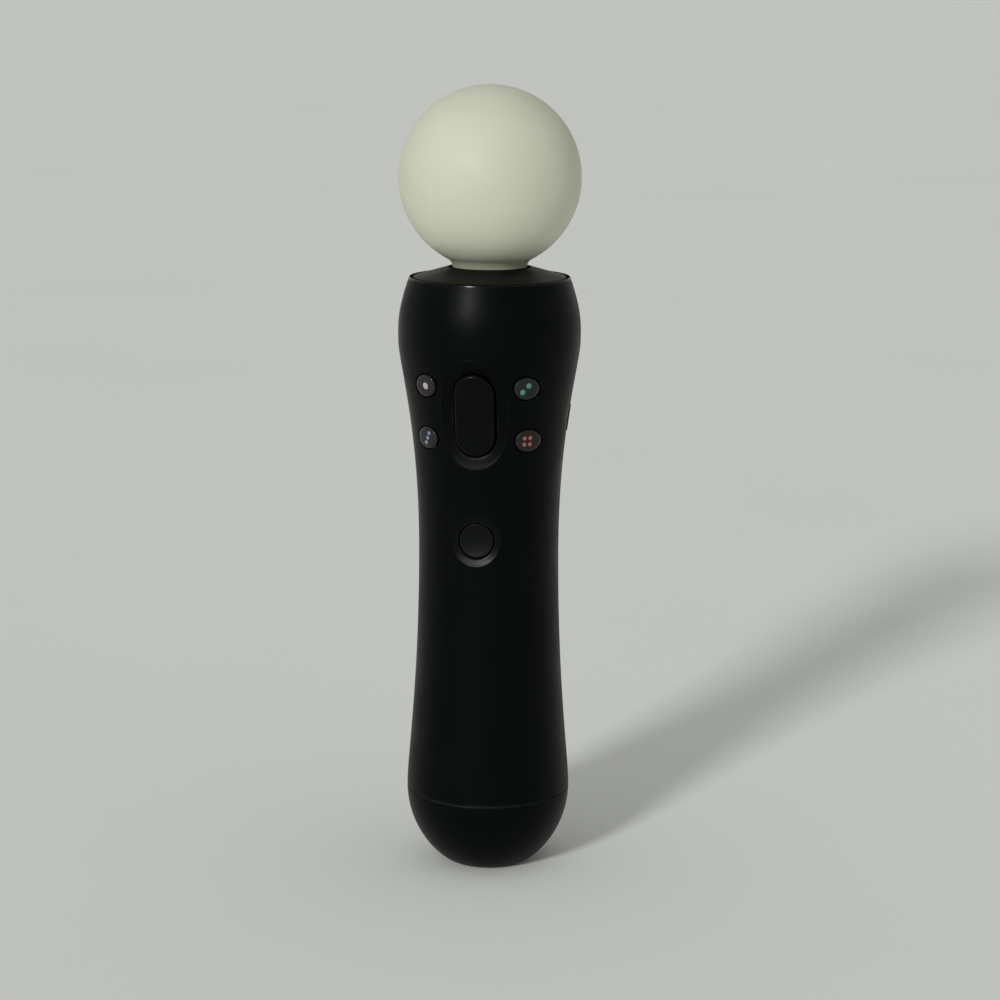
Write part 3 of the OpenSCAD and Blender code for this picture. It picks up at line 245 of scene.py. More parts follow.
@dataclass(frozen=True)
class BodyOutline:
    """Turned outline of the casing, from its base to the rim round the light."""

    base_r: float = 9.7
    base_round: float = 2.0
    seam_z: float = 20.1
    seam_gap: float = 0.015
    belly_r: float = 21.0
    belly_pull: float = 12.8
    grip_pull_low: float = 7.0
    grip_pull_high: float = 35.7
    waist_r: float = 17.85
    waist_z: float = 83.6
    flare_pull_low: float = 31.0
    flare_pull_high: float = 6.0
    shoulder_r: float = 23.0
    shoulder_z: float = 136.5
    crown_pull_low: float = 4.0
    crown_pull_high: float = 9.0
    crown_lean: float = 0.35
    rim_r: float = 20.2
    rim_z: float = 152.4
    wall: float = 2.0
    steps: int = 90

    @cached_property
    def foot(self) -> list[Flat]:
        """Curve of the end cap."""
        return bezier((self.base_r, 0.0), (self.base_r + self.base_round, 0.0),
                      (self.belly_r, self.seam_z - self.belly_pull), (self.belly_r, self.seam_z), self.steps)

    @cached_property
    def shell(self) -> list[Flat]:
        """Curve of the two casing halves.

        Returns:
            Its points as (radius, height), from the seam to the rim.
        """
        belly, waist = (self.belly_r, self.seam_z), (self.waist_r, self.waist_z)
        shoulder, rim = (self.shoulder_r, self.shoulder_z), (self.rim_r, self.rim_z)
        grip = bezier(belly, (self.belly_r, self.seam_z + self.grip_pull_low),
                      (self.waist_r, self.waist_z - self.grip_pull_high), waist, self.steps)
        flare = bezier(waist, (self.waist_r, self.waist_z + self.flare_pull_low),
                       (self.shoulder_r, self.shoulder_z - self.flare_pull_high), shoulder, self.steps)
        crown = bezier(shoulder, (self.shoulder_r, self.shoulder_z + self.crown_pull_low),
                       (self.shoulder_r + self.crown_lean, self.rim_z - self.crown_pull_high), rim,
                       self.steps)
        return grip + flare[1:] + crown[1:]

    @cached_property
    def table(self) -> tuple[list[float], list[float]]:
        """Heights and radii up the whole casing."""
        curve = self.foot + self.shell[1:]
        return [z for _, z in curve], [r for r, _ in curve]

    def radius(self, z: float) -> float:
        """Radius of the casing at a height."""
        return lookup(*self.table, z)

    def out(self, across: float, z: float, grow: float = 0.0) -> float:
        """Distance from the axis plane to the casing's face, beside the axis by across."""
        return math.sqrt(max((self.radius(z) + grow) ** 2 - across * across, 0.0))


BODY = BodyOutline()


@dataclass(frozen=True)
class Stadium:
    """Outline of two half circles and their straight sides, or a circle where both sizes are equal."""

    across: float
    z: float
    width: float
    length: float
    arc: int = 28
    side: int = 16

    def at(self, grow: float) -> list[Flat]:
        """Draws the outline, grown by a distance.

        Args:
            grow: The distance.

        Returns:
            Its points, across and up.
        """
        r = self.width / 2 + grow
        straight = (self.length - self.width) / 2
        ends = 1 if straight > 0 else 0
        points = []
        for sign in (1, -1):
            for i in range(self.arc + ends):
                turn = math.pi * i / self.arc
                points.append((self.across + sign * r * math.cos(turn),
                               self.z + sign * (straight + r * math.sin(turn))))
            for i in range(1, self.side * ends):
                points.append((self.across - sign * r, self.z + sign * straight * (1 - 2 * i / self.side)))
        return points


@dataclass(frozen=True)
class Slab:
    """Outline of a rectangle with round corners."""

    across: float
    z: float
    width: float
    height: float
    corner: float
    arc: int = 6
    side: int = 8

    def at(self, grow: float) -> list[Flat]:
        """Draws the outline, grown by a distance.

        Args:
            grow: The distance.

        Returns:
            Its points, across and up.
        """
        r = self.corner + grow
        half_w = self.width / 2 - self.corner
        half_h = self.height / 2 - self.corner
        points = []
        for k, (sx, sz) in enumerate(((1, 1), (-1, 1), (-1, -1), (1, -1))):
            turn = QUARTER_TURN * (k + 1)
            points += arc((self.across + sx * half_w, self.z + sz * half_h), r,
                          QUARTER_TURN * k, turn, self.arc)
            begin = points[-1]
            reach = 2 * half_w if k % 2 == 0 else 2 * half_h
            for i in range(1, self.side):
                points.append((begin[0] - math.sin(turn) * reach * i / self.side,
                               begin[1] + math.cos(turn) * reach * i / self.side))
        return points


@dataclass
class Draft:
    """Points and faces of one piece, in millimetres."""

    points: list[Point] = field(default_factory=list)
    faces: list[tuple[int, ...]] = field(default_factory=list)

    def ring(self, points: Sequence[Point]) -> list[int]:
        """Adds points and gives their numbers.

        Args:
            points: The points.

        Returns:
            A number for each.
        """
        start = len(self.points)
        self.points.extend(points)
        return list(range(start, len(self.points)))

    def strip(self, first: list[int], rings: Sequence[Ring], last: list[int] | None = None) -> None:
        """Joins rings of equal count in order.

        Args:
            first: Point numbers of the ring to start from.
            rings: Rings to go through.
            last: Point numbers of the ring to end on; None closes the last ring with a fan.
        """
        rows = [first] + [self.ring(r) for r in rings]
        if last is not None:
            rows.append(last)
        for a, b in zip(rows, rows[1:]):
            for i in range(len(a)):
                j = (i + 1) % len(a)
                self.faces.append((a[i], a[j], b[j], b[i]))
        if last is None:
            self.cap(rows[-1])

    def cap(self, ring: list[int]) -> None:
        """Closes a ring with a fan round its middle.

        Args:
            ring: Point numbers of the ring.
        """
        spots = [Vector(self.points[i]) for i in ring]
        middle = self.ring([tuple(sum(spots, Vector()) / len(spots))])[0]
        for i in range(len(ring)):
            self.faces.append((ring[i], ring[(i + 1) % len(ring)], middle))

    def rod(self, rings: Sequence[Ring]) -> None:
        """Adds a closed form through rings of equal count.

        Args:
            rings: The rings, from end to end.
        """
        first = self.ring(rings[0])
        self.cap(first)
        self.strip(first, rings[1:])

    def sheet(self, loops: Sequence[Sequence[Flat]], step: float,
              lift: Callable[[float, float], Point]) -> list[list[int]]:
        """Covers the area inside the first loop and outside the others.

        Args:
            loops: Closed outlines, laid flat.
            step: Spacing of the points in between.
            lift: Gives the point in space for a flat point.

        Returns:
            Point numbers of each loop.
        """
        flat = [Vector(p) for loop in loops for p in loop]
        edges, start = [], 0
        for loop in loops:
            edges += [(start + i, start + (i + 1) % len(loop)) for i in range(len(loop))]
            start += len(loop)
        near = KDTree(len(flat))
        for i, p in enumerate(flat):
            near.insert((p.x, p.y, 0.0), i)
        near.balance()
        us, vs = [p[0] for p in loops[0]], [p[1] for p in loops[0]]
        rise = step * math.sqrt(3) / 2
        for row in range(1, int((max(vs) - min(vs)) / rise) + 1):
            v = min(vs) + row * rise
            for col in range(1, int((max(us) - min(us)) / step) + 1):
                u = min(us) + (col - row % 2 / 2) * step
                if near.find((u, v, 0.0))[2] > step * BORDER_ROOM:
                    flat.append(Vector((u, v)))
        spots, _, faces, sources, _, _ = delaunay_2d_cdt(flat, edges, [], FACES_INSIDE, TOUCH)
        base = len(self.points)
        self.points.extend(lift(p.x, p.y) for p in spots)
        for face in faces:
            middle = sum((spots[i] for i in face), Vector((0.0, 0.0))) / len(face)
            if within(middle, loops[0]) and not any(within(middle, hole) for hole in loops[1:]):
                self.faces.append(tuple(base + i for i in face))
        place = {s: base + i for i, group in enumerate(sources) for s in group}
        numbers, start = [], 0
        for loop in loops:
            numbers.append([place[start + i] for i in range(len(loop))])
            start += len(loop)
        return numbers

    def mesh(self, name: str, crease: float = CREASE) -> bpy.types.Mesh:
        """Makes a closed, outward-facing mesh in metres.

        Args:
            name: Name of the mesh.
            crease: Angle in degrees past which an edge stays sharp.

        Returns:
            The mesh.
        """
        mesh = bpy.data.meshes.new(name)
        mesh.from_pydata([tuple(c * MM for c in p) for p in self.points], [], self.faces)
        return tidy_mesh(mesh, crease)


def tidy_mesh(mesh: bpy.types.Mesh, crease: float = CREASE) -> bpy.types.Mesh:
    """Cleans a mesh, turns its faces outwards, shades it smooth and marks how far its points stand out.

    Args:
        mesh: Mesh to change.
        crease: Angle in degrees past which an edge stays sharp.

    Returns:
        The same mesh.
    """
    work = bmesh.new()
    work.from_mesh(mesh)
    bmesh.ops.remove_doubles(work, verts=work.verts, dist=MERGE)
    bmesh.ops.delete(work, geom=[v for v in work.verts if not v.link_faces], context="VERTS")
    bmesh.ops.recalc_face_normals(work, faces=work.faces)
    work.normal_update()
    stand_out = work.verts.layers.float.get(STAND_OUT) or work.verts.layers.float.new(STAND_OUT)
    for point in work.verts:
        pull = sum(((e.other_vert(point).co - point.co).normalized() for e in point.link_edges), Vector())
        point[stand_out] = max(-point.normal.dot(pull) / len(point.link_edges), 0.0)
    work.to_mesh(mesh)
    work.free()
    mesh.shade_smooth()
    mesh.set_sharp_from_angle(angle=math.radians(crease))
    return mesh


def linear(colour: Rgb) -> tuple[float, float, float, float]:
    """Colour of 0-255 display values, taken off the sRGB curve as the shader needs it."""
    parts = [c / 255 for c in colour]
    return tuple(c / 12.92 if c <= 0.04045 else ((c + 0.055) / 1.055) ** 2.4 for c in parts) + (1.0,)


def feed(tree: Tree, node: bpy.types.Node, inputs: Inputs) -> None:
    """Sets a node's inputs.

    Args:
        tree: Tree that the node is in.
        node: The node.
        inputs: For each input, the socket that feeds it or its fixed value.
    """
    for key, value in inputs.items():
        if isinstance(value, Socket):
            tree.links.new(value, node.inputs[key])
        else:
            node.inputs[key].default_value = value


def add_node(tree: Tree, kind: str, inputs: Inputs | None = None, **settings: object) -> bpy.types.Node:
    """Adds a node to a tree.

    Args:
        tree: The tree.
        kind: Type of the node.
        inputs: For each input, the socket that feeds it or its fixed value.
        settings: The node's own settings.

    Returns:
        The node.
    """
    node = tree.nodes.new(kind)
    for name, value in settings.items():
        setattr(node, name, value)
    feed(tree, node, inputs or {})
    return node


def mix_colours(tree: Tree, share: Socket, first: Socket, second: object) -> Socket:
    """Mixes from one colour to a second, which is a socket or a fixed colour, by a share."""
    inputs = {MIX_SHARE: share, MIX_FIRST: first, MIX_SECOND: second}
    return add_node(tree, "ShaderNodeMix", inputs, data_type="RGBA").outputs[MIX_RESULT]


def stretch(tree: Tree, value: Socket, source: tuple[object, object], target: Flat = (0.0, 1.0)) -> Socket:
    """Maps a range of a value, from fixed ends or sockets, onto another range, and holds it there."""
    inputs = dict(zip(("Value", "From Min", "From Max", "To Min", "To Max"), (value, *source, *target)))
    return add_node(tree, "ShaderNodeMapRange", inputs).outputs["Result"]


@dataclass
class Effects:
    """Shader node groups that the finishes share."""

    grain_detail: float = 3.0
    mask_detail: float = 4.0
    mask_scale: float = 90.0
    drift_detail: float = 5.0
    edge_noise_detail: float = 4.0
    edge_noise_scale: float = 420.0
    edge_noise_range: Flat = (0.35, 0.65)
    grain: Tree = field(init=False)
    drift: Tree = field(init=False)
    wear_and_highlight: Tree = field(init=False)

    def __post_init__(self) -> None:
        """Builds every group once."""
        self.grain, self.drift, self.wear_and_highlight = self._grain(), self._drift(), self._edge_mask()

    @staticmethod
    def _group(name: str, inputs: Mapping[str, str], outputs: Mapping[str, str]) -> Tree:
        """Makes an empty group with named sockets.

        Args:
            name: Name of the group.
            inputs: Kind of each input.
            outputs: Kind of each output.

        Returns:
            The group.
        """
        tree = bpy.data.node_groups.new(name, "ShaderNodeTree")
        for way, sockets in (("INPUT", inputs), ("OUTPUT", outputs)):
            for label, kind in sockets.items():
                tree.interface.new_socket(label, in_out=way, socket_type=kind)
        add_node(tree, "NodeGroupInput")
        add_node(tree, "NodeGroupOutput")
        return tree

    @staticmethod
    def _noise(tree: Tree, detail: float, scale: object) -> Socket:
        """Adds noise on a piece's own coordinates.

        Args:
            tree: Tree to add to.
            detail: Number of finer layers.
            scale: Its scale, fixed or from a socket.

        Returns:
            Its value.
        """
        place = add_node(tree, "ShaderNodeTexCoord").outputs["Object"]
        noise = add_node(tree, "ShaderNodeTexNoise", {"Vector": place, "Detail": detail, "Scale": scale})
        return noise.outputs["Fac"]

    def _grain(self) -> Tree:
        """Builds the fine moulded grain: a height and a slow mask.

        Returns:
            The group.
        """
        tree = self._group("moulded_grain", {"Grains": FLOAT}, {"Height": FLOAT, "Mask": FLOAT})
        grains = tree.nodes["Group Input"].outputs["Grains"]
        feed(tree, tree.nodes["Group Output"], {
            "Height": self._noise(tree, self.grain_detail, grains),
            "Mask": self._noise(tree, self.mask_detail, self.mask_scale)})
        return tree

    def _drift(self) -> Tree:
        """Builds the slow drift between two tones.

        Returns:
            The group.
        """
        tree = self._group("tone_drift", {"Tone": COLOUR, "Other Tone": COLOUR, "Patches": FLOAT},
                           {"Color": COLOUR})
        given = tree.nodes["Group Input"].outputs
        share = stretch(tree, self._noise(tree, self.drift_detail, given["Patches"]), NOISE_RANGE)
        mixed = mix_colours(tree, share, given["Tone"], given["Other Tone"])
        feed(tree, tree.nodes["Group Output"], {"Color": mixed})
        return tree

    def _edge_mask(self) -> Tree:
        """Builds the mask of lighter scuffed edges, broken up by noise; on the black casing these edges also
        serve as painted highlight lines.

        Returns:
            The group.
        """
        tree = self._group("edge_wear_and_highlight", {"Start": FLOAT, "Full": FLOAT}, {"Mask": FLOAT})
        given = tree.nodes["Group Input"].outputs
        shape = add_node(tree, "ShaderNodeAttribute", attribute_name=STAND_OUT).outputs["Fac"]
        edge = stretch(tree, shape, (given["Start"], given["Full"]))
        broken = stretch(tree, self._noise(tree, self.edge_noise_detail, self.edge_noise_scale), self.edge_noise_range)
        both = add_node(tree, "ShaderNodeMath", {0: edge, 1: broken}, operation="MULTIPLY")
        feed(tree, tree.nodes["Group Output"], {"Mask": both.outputs["Value"]})
        return tree


@dataclass(frozen=True)
class Texture:
    """A texture node: its type, its inputs, how its pattern is turned or scaled, and its settings."""

    kind: str
    inputs: Inputs = field(default_factory=dict)
    placing: Inputs = field(default_factory=dict)
    settings: Mapping[str, object] = field(default_factory=dict)


class Pattern(Enum):
    """Drawn detail that a finish adds to its tones, and a painted shade that darkens it towards one height.
    """

    PLAIN = None
    TRACES = Texture("ShaderNodeTexBrick", {"Scale": 260.0, "Mortar Size": 0.035},
                     {"Rotation": (QUARTER_TURN, 0.0, 0.0)})
    BRUSHED = Texture("ShaderNodeTexNoise", {"Scale": 5200.0}, {"Scale": (1.0, 1.0, 0.06)})
    STRIPES = Texture("ShaderNodeTexWave", {"Scale": 320.0})
    # Painted shade: a gradient by height towards a darker mark, standing in for the shade under the globe.
    SHADE_FADE = Texture("ShaderNodeTexGradient", placing={"Rotation": (0.0, -QUARTER_TURN, 0.0)},
                     settings={"gradient_type": "EASING"})


@dataclass(frozen=True)
class Finish:
    """A procedural finish: two drifting tones, grain, lighter scuffed edges, which on black plastic also
    serve as painted highlight lines, and gloss.

    A finish with the painted shade fades to its darker mark between the two heights of its band, in
    millimetres.
    """

    name: str
    tone: Rgb
    other: Rgb
    rough: float
    swing: float = 0.08
    patches: float = 70.0
    grains: float = 2600.0
    bump: float = 0.04
    worn_and_highlight: Rgb = (70, 72, 73)
    wear_and_highlight: Flat = (0.08, 0.3)
    metal: float = 0.0
    coat: float = 0.0
    specular: float = 0.5
    edge_gloss: float = 0.1
    pattern: Pattern = Pattern.PLAIN
    mark: Rgb = (0, 0, 0)
    band: Flat = (0.0, 1.0)

    def material(self, effects: Effects) -> bpy.types.Material:
        """Builds the finish, or gives the one already built.

        Args:
            effects: The shared node groups.

        Returns:
            The material.
        """
        known = bpy.data.materials.get(self.name)
        if known:
            return known
        made = bpy.data.materials.new(self.name)
        made.use_nodes = True
        tree = made.node_tree
        tones = {"Tone": linear(self.tone), "Other Tone": linear(self.other), "Patches": self.patches}
        drift = add_node(tree, "ShaderNodeGroup", tones, node_tree=effects.drift).outputs["Color"]
        grain = add_node(tree, "ShaderNodeGroup", {"Grains": self.grains}, node_tree=effects.grain).outputs
        edges = dict(zip(("Start", "Full"), self.wear_and_highlight))
        wear_and_highlight = add_node(tree, "ShaderNodeGroup", edges, node_tree=effects.wear_and_highlight).outputs["Mask"]
        gloss = stretch(tree, grain["Mask"], NOISE_RANGE, (self.rough - self.swing, self.rough + self.swing))
        polish = add_node(tree, "ShaderNodeMath", {0: wear_and_highlight, 1: -self.edge_gloss, 2: gloss},
                          operation="MULTIPLY_ADD")
        bump = add_node(tree, "ShaderNodeBump", {"Strength": 1.0, "Distance": self.bump * MM,
                                                 "Height": grain["Height"]})
        feed(tree, tree.nodes["Principled BSDF"], {
            "Metallic": self.metal, "Coat Weight": self.coat, "Specular IOR Level": self.specular,
            "Base Color": mix_colours(tree, wear_and_highlight, self._drawn(tree, drift), linear(self.worn_and_highlight)),
            "Roughness": polish.outputs["Value"], "Normal": bump.outputs["Normal"]})
        return made

    def _drawn(self, tree: Tree, colour: Socket) -> Socket:
        """Adds the finish's pattern to its colour.

        Args:
            tree: The material's nodes.
            colour: Colour before the pattern.

        Returns:
            Colour after the pattern.
        """
        texture = self.pattern.value
        if texture is None:
            return colour
        placing = {"Vector": add_node(tree, "ShaderNodeTexCoord").outputs["Object"], **texture.placing}
        # Lays the painted shade between the two heights of the band.
        if self.pattern is Pattern.SHADE_FADE:
            start, full = self.band
            placing["Scale"] = [1.0 / ((start - full) * MM)] * 3
            placing["Location"] = (start / (start - full), 0.0, 0.0)
        turned = add_node(tree, "ShaderNodeMapping", placing).outputs["Vector"]
        source = add_node(tree, texture.kind, {"Vector": turned, **texture.inputs}, **texture.settings)
        return mix_colours(tree, source.outputs["Fac"], colour, linear(self.mark))


# Its lighter edge tone is scuffing on edges, and along the recess and dish lips it also serves as painted
# highlight lines.
SATIN_BLACK = Finish("satin_black", (1, 3, 4), (3, 5, 6), 0.38, swing=0.05, specular=0.062, bump=0.03,
                     worn_and_highlight=(30, 34, 34), wear_and_highlight=(0.03, 0.14), edge_gloss=0.16)
POLISHED_BLACK = Finish("polished_black", (2, 3, 4), (4, 6, 7), 0.29, swing=0.03, specular=0.09, bump=0.008,
                        worn_and_highlight=(30, 34, 34), wear_and_highlight=(0.03, 0.14))
POLISHED_RIM = replace(POLISHED_BLACK, name="polished_rim", rough=0.18, specular=0.13, worn_and_highlight=(9, 11, 11),
                       edge_gloss=0.0)
# Lighter grey for the end cap's top edge: a painted highlight line along the seam.
SEAM_HIGHLIGHT = Finish("seam_painted_highlight", (20, 23, 23), (27, 30, 30), 0.5, swing=0.05, specular=0.05, bump=0.01,
                      worn_and_highlight=(30, 34, 34))
# Matte near-black without reflection, put on the plate round the globe's neck and on the rim's top: painted
# shade.
SHADE_BLACK = Finish("painted_shade_black", (1, 2, 2), (2, 3, 3), 0.8, specular=0.0, bump=0.01, worn_and_highlight=(5, 6, 6))
HOME_BLACK = replace(POLISHED_BLACK, name="home_black", rough=0.36, specular=0.13)
# The plate fades to near black towards the neck: painted shade under the globe.
PLATE_GREY = Finish("plate_grey", (22, 21, 18), (28, 27, 23), 0.5, specular=0.13, bump=0.05,
                    worn_and_highlight=(36, 35, 32), pattern=Pattern.SHADE_FADE, mark=(1, 1, 1), band=(153.2, 154.7))
# The globe fades to a darker tone towards its neck: painted shade under the globe.
IVORY = Finish("ivory_globe", (212, 214, 194), (204, 206, 184), 0.55, patches=45.0, grains=1500.0, bump=0.02,
               worn_and_highlight=(214, 216, 198), specular=0.35, pattern=Pattern.SHADE_FADE, mark=(156, 158, 138),
               band=(158.4, 155.4))
SMOKE = Finish("smoke_cap", (27, 28, 29), (33, 34, 35), 0.28, swing=0.05, coat=0.12, bump=0.008,
               worn_and_highlight=(66, 68, 68), specular=0.15)
GLOSS_BLACK = Finish("gloss_black", (3, 4, 5), (6, 7, 8), 0.30, swing=0.05, bump=0.015, worn_and_highlight=(26, 28, 28),
                     specular=0.08)
TRIGGER_BLACK = Finish("trigger_black", (6, 7, 8), (10, 11, 12), 0.42, specular=0.1, bump=0.03,
                       worn_and_highlight=(34, 36, 36))
FRAME_GREY = Finish("frame_grey", (24, 25, 26), (30, 31, 32), 0.6, specular=0.2, worn_and_highlight=(52, 53, 55))
MILK_PLASTIC = Finish("milk_plastic", (226, 226, 218), (218, 218, 208), 0.5, worn_and_highlight=(236, 236, 230))
CLEAR_GUIDE = Finish("frosted_guide", (214, 220, 222), (204, 211, 214), 0.25, coat=0.4, worn_and_highlight=(232, 236, 238))
BOARD = Finish("solder_mask", (20, 76, 46), (26, 88, 54), 0.35, bump=0.01, worn_and_highlight=(70, 110, 70),
               pattern=Pattern.TRACES, mark=(52, 118, 74))
DARK_BOARD = replace(BOARD, name="dark_mask", tone=(9, 11, 11), other=(13, 15, 15), worn_and_highlight=(30, 32, 32),
                     mark=(22, 26, 25))
CHIP = Finish("chip_epoxy", (26, 26, 28), (33, 33, 35), 0.62, worn_and_highlight=(62, 62, 64))
RIBBON = Finish("ribbon_film", (196, 128, 46), (182, 116, 38), 0.3, coat=0.3, worn_and_highlight=(208, 150, 70),
                pattern=Pattern.STRIPES, mark=(150, 88, 26))
STEEL = Finish("turned_steel", (182, 184, 188), (168, 170, 174), 0.32, metal=1.0, worn_and_highlight=(216, 218, 222),
               pattern=Pattern.BRUSHED, mark=(140, 142, 146))
BLACKED_STEEL = replace(STEEL, name="blacked_steel", tone=(30, 31, 33), other=(24, 25, 27), rough=0.5,
                        worn_and_highlight=(54, 56, 59), mark=(18, 19, 20))
BRASS = Finish("gold_contact", (206, 166, 82), (190, 150, 68), 0.28, metal=1.0, worn_and_highlight=(232, 204, 130),
               pattern=Pattern.BRUSHED, mark=(160, 122, 52))
RUBBER = Finish("grey_rubber", (140, 142, 146), (128, 130, 134), 0.75, worn_and_highlight=(160, 162, 166))
CELL_WRAP = Finish("cell_wrap", (58, 74, 120), (50, 66, 110), 0.4, coat=0.2, worn_and_highlight=(96, 110, 150))
LEAD = Finish("lead_cover", (150, 28, 26), (132, 22, 22), 0.45, worn_and_highlight=(176, 60, 56))


@dataclass
class Workshop:
    """Turns drafts into pieces that ride the frame."""

    effects: Effects = field(default_factory=Effects)

    def place(self, name: str, mesh: bpy.types.Mesh, finish: Finish | None, body: str, slot: str,
              nodes: Sequence[str] = ()) -> bpy.types.Object:
        """Adds a piece to the scene and ties it to the frame.

        Args:
            name: Name of the piece.
            mesh: Its mesh, in place.
            finish: Its finish; None where the mesh has its material already.
            body: The body that it rides.
            slot: The record's material slot; not used.
            nodes: The frame's nodes that it stands for.

        Returns:
            The piece.
        """
        if finish:
            mesh.materials.clear()
            mesh.materials.append(finish.material(self.effects))
        piece = bpy.data.objects.new(name, mesh)
        bpy.context.scene.collection.objects.link(piece)
        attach(piece, body)
        if nodes:
            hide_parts(*nodes)
        LOG.info("%s: %d faces", name, len(mesh.polygons))
        return piece

    def repaint(self, piece: bpy.types.Object, finish: Finish, where: Callable[[Vector], bool]) -> None:
        """Gives some of a piece's faces another finish.

        Args:
            piece: The piece.
            finish: Their finish.
            where: Tells from a face's middle, in millimetres, whether it is one of them.
        """
        piece.data.materials.append(finish.material(self.effects))
        last = len(piece.data.materials) - 1
        for face in piece.data.polygons:
            if where(face.center / MM):
                face.material_index = last

    def dress(self, finish: Finish, *nodes: str) -> None:
        """Gives the frame's own nodes a finish.

        Args:
            finish: The finish.
            nodes: Names of the nodes.
        """
        for name in nodes:
            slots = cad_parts[name].data.materials
            slots.clear()
            slots.append(finish.material(self.effects))
            LOG.info("%s dressed in %s", name, finish.name)


class NodeTrees:
    """Geometry node trees for turned forms and repeated parts."""

    def __init__(self) -> None:
        """Builds both trees."""
        self.turned, self.turned_ids = self._turned()
        self.copies, self.copy_ids = self._copies()

    @staticmethod
    def _start(name: str, inputs: Mapping[str, str]) -> tuple[Tree, dict[str, str]]:
        """Makes a tree with named inputs.

        Args:
            name: Name of the tree.
            inputs: Kind of each input.

        Returns:
            The tree, and the identifier of each input.
        """
        tree = bpy.data.node_groups.new(name, "GeometryNodeTree")
        tree.interface.new_socket("Geometry", in_out="INPUT", socket_type="NodeSocketGeometry")
        ids = {label: tree.interface.new_socket(label, in_out="INPUT", socket_type=kind).identifier
               for label, kind in inputs.items()}
        tree.interface.new_socket("Geometry", in_out="OUTPUT", socket_type="NodeSocketGeometry")
        return tree, ids

    @staticmethod
    def _end(tree: Tree, finish: Socket, shape: Socket) -> None:
        """Ends a tree: realizes its shape and sets its material.

        Args:
            tree: The tree.
            finish: The material.
            shape: The shape.
        """
        real = add_node(tree, "GeometryNodeRealizeInstances", {"Geometry": shape}).outputs["Geometry"]
        paint = add_node(tree, "GeometryNodeSetMaterial", {"Geometry": real, "Material": finish})
        add_node(tree, "NodeGroupOutput", {"Geometry": paint.outputs["Geometry"]})

    def _turned(self) -> tuple[Tree, dict[str, str]]:
        """Builds the tree that turns a flat outline round the wand's axis.

        Returns:
            The tree, and the identifier of each input.
        """
        tree, ids = self._start("turned_form", {"Steps": "NodeSocketInt", "Core Radius": FLOAT,
                                                "Finish": "NodeSocketMaterial"})
        given = add_node(tree, "NodeGroupInput").outputs
        outline = add_node(tree, "GeometryNodeMeshToCurve", {"Mesh": given["Geometry"]}).outputs["Curve"]
        path = add_node(tree, "GeometryNodeCurvePrimitiveCircle",
                        {"Resolution": given["Steps"], "Radius": given["Core Radius"]}).outputs["Curve"]
        sweep = add_node(tree, "GeometryNodeCurveToMesh", {"Curve": path, "Profile Curve": outline})
        self._end(tree, given["Finish"], sweep.outputs["Mesh"])
        return tree, ids

    def _copies(self) -> tuple[Tree, dict[str, str]]:
        """Builds the tree that sets a copy of one part on every point, along the point's own direction.

        Returns:
            The tree, and the identifier of each input.
        """
        tree, ids = self._start("set_copies", {"Part": "NodeSocketObject", "Size": FLOAT,
                                               "Finish": "NodeSocketMaterial"})
        given = add_node(tree, "NodeGroupInput").outputs
        part = add_node(tree, "GeometryNodeObjectInfo", {"Object": given["Part"]}).outputs["Geometry"]
        heading = add_node(tree, "GeometryNodeInputNamedAttribute", {"Name": OUTWARD},
                           data_type="FLOAT_VECTOR").outputs["Attribute"]
        align = add_node(tree, "FunctionNodeAlignRotationToVector", {"Vector": heading}, axis="Z")
        place = add_node(tree, "GeometryNodeInstanceOnPoints", {
            "Points": given["Geometry"], "Instance": part, "Rotation": align.outputs["Rotation"],
            "Scale": given["Size"]})
        self._end(tree, given["Finish"], place.outputs["Instances"])
        return tree, ids

    @staticmethod
    def _bake(name: str, mesh: bpy.types.Mesh, tree: Tree, values: Mapping[str, object]) -> bpy.types.Mesh:
        """Runs a tree on a mesh and keeps the result as a plain mesh.

        Args:
            name: Name of the result.
            mesh: Mesh to start from.
            tree: The tree.
            values: Value of each input, by its identifier.

        Returns:
            The plain mesh.
        """
        carrier = bpy.data.objects.new("carrier", mesh)
        run = carrier.modifiers.new("shape", "NODES")
        run.node_group = tree
        for key, value in values.items():
            run[key] = value
        bpy.context.scene.collection.objects.link(carrier)
        bpy.context.view_layer.update()
        done = carrier.evaluated_get(bpy.context.evaluated_depsgraph_get())
        result = bpy.data.meshes.new_from_object(done)
        result.name = name
        carrier.modifiers.clear()
        bpy.data.objects.remove(carrier)
        return result

    def turn(self, name: str, outline: Sequence[Flat], finish: bpy.types.Material,
             steps: int) -> bpy.types.Mesh:
        """Turns a closed outline of (radius, height) round the wand's axis.

        Args:
            name: Name of the mesh.
            outline: Points of the outline, in millimetres.
            finish: Material of the form.
            steps: Number of facets round it.

        Returns:
            A plain closed mesh.
        """
        flat = bpy.data.meshes.new("outline")
        count = len(outline)
        flat.from_pydata([((r - CORE) * MM, -z * MM, 0.0) for r, z in outline],
                         [(i, (i + 1) % count) for i in range(count)], [])
        ids = self.turned_ids
        values = {ids["Steps"]: steps, ids["Core Radius"]: CORE * MM, ids["Finish"]: finish}
        return tidy_mesh(self._bake(name, flat, self.turned, values), TURNED_CREASE)

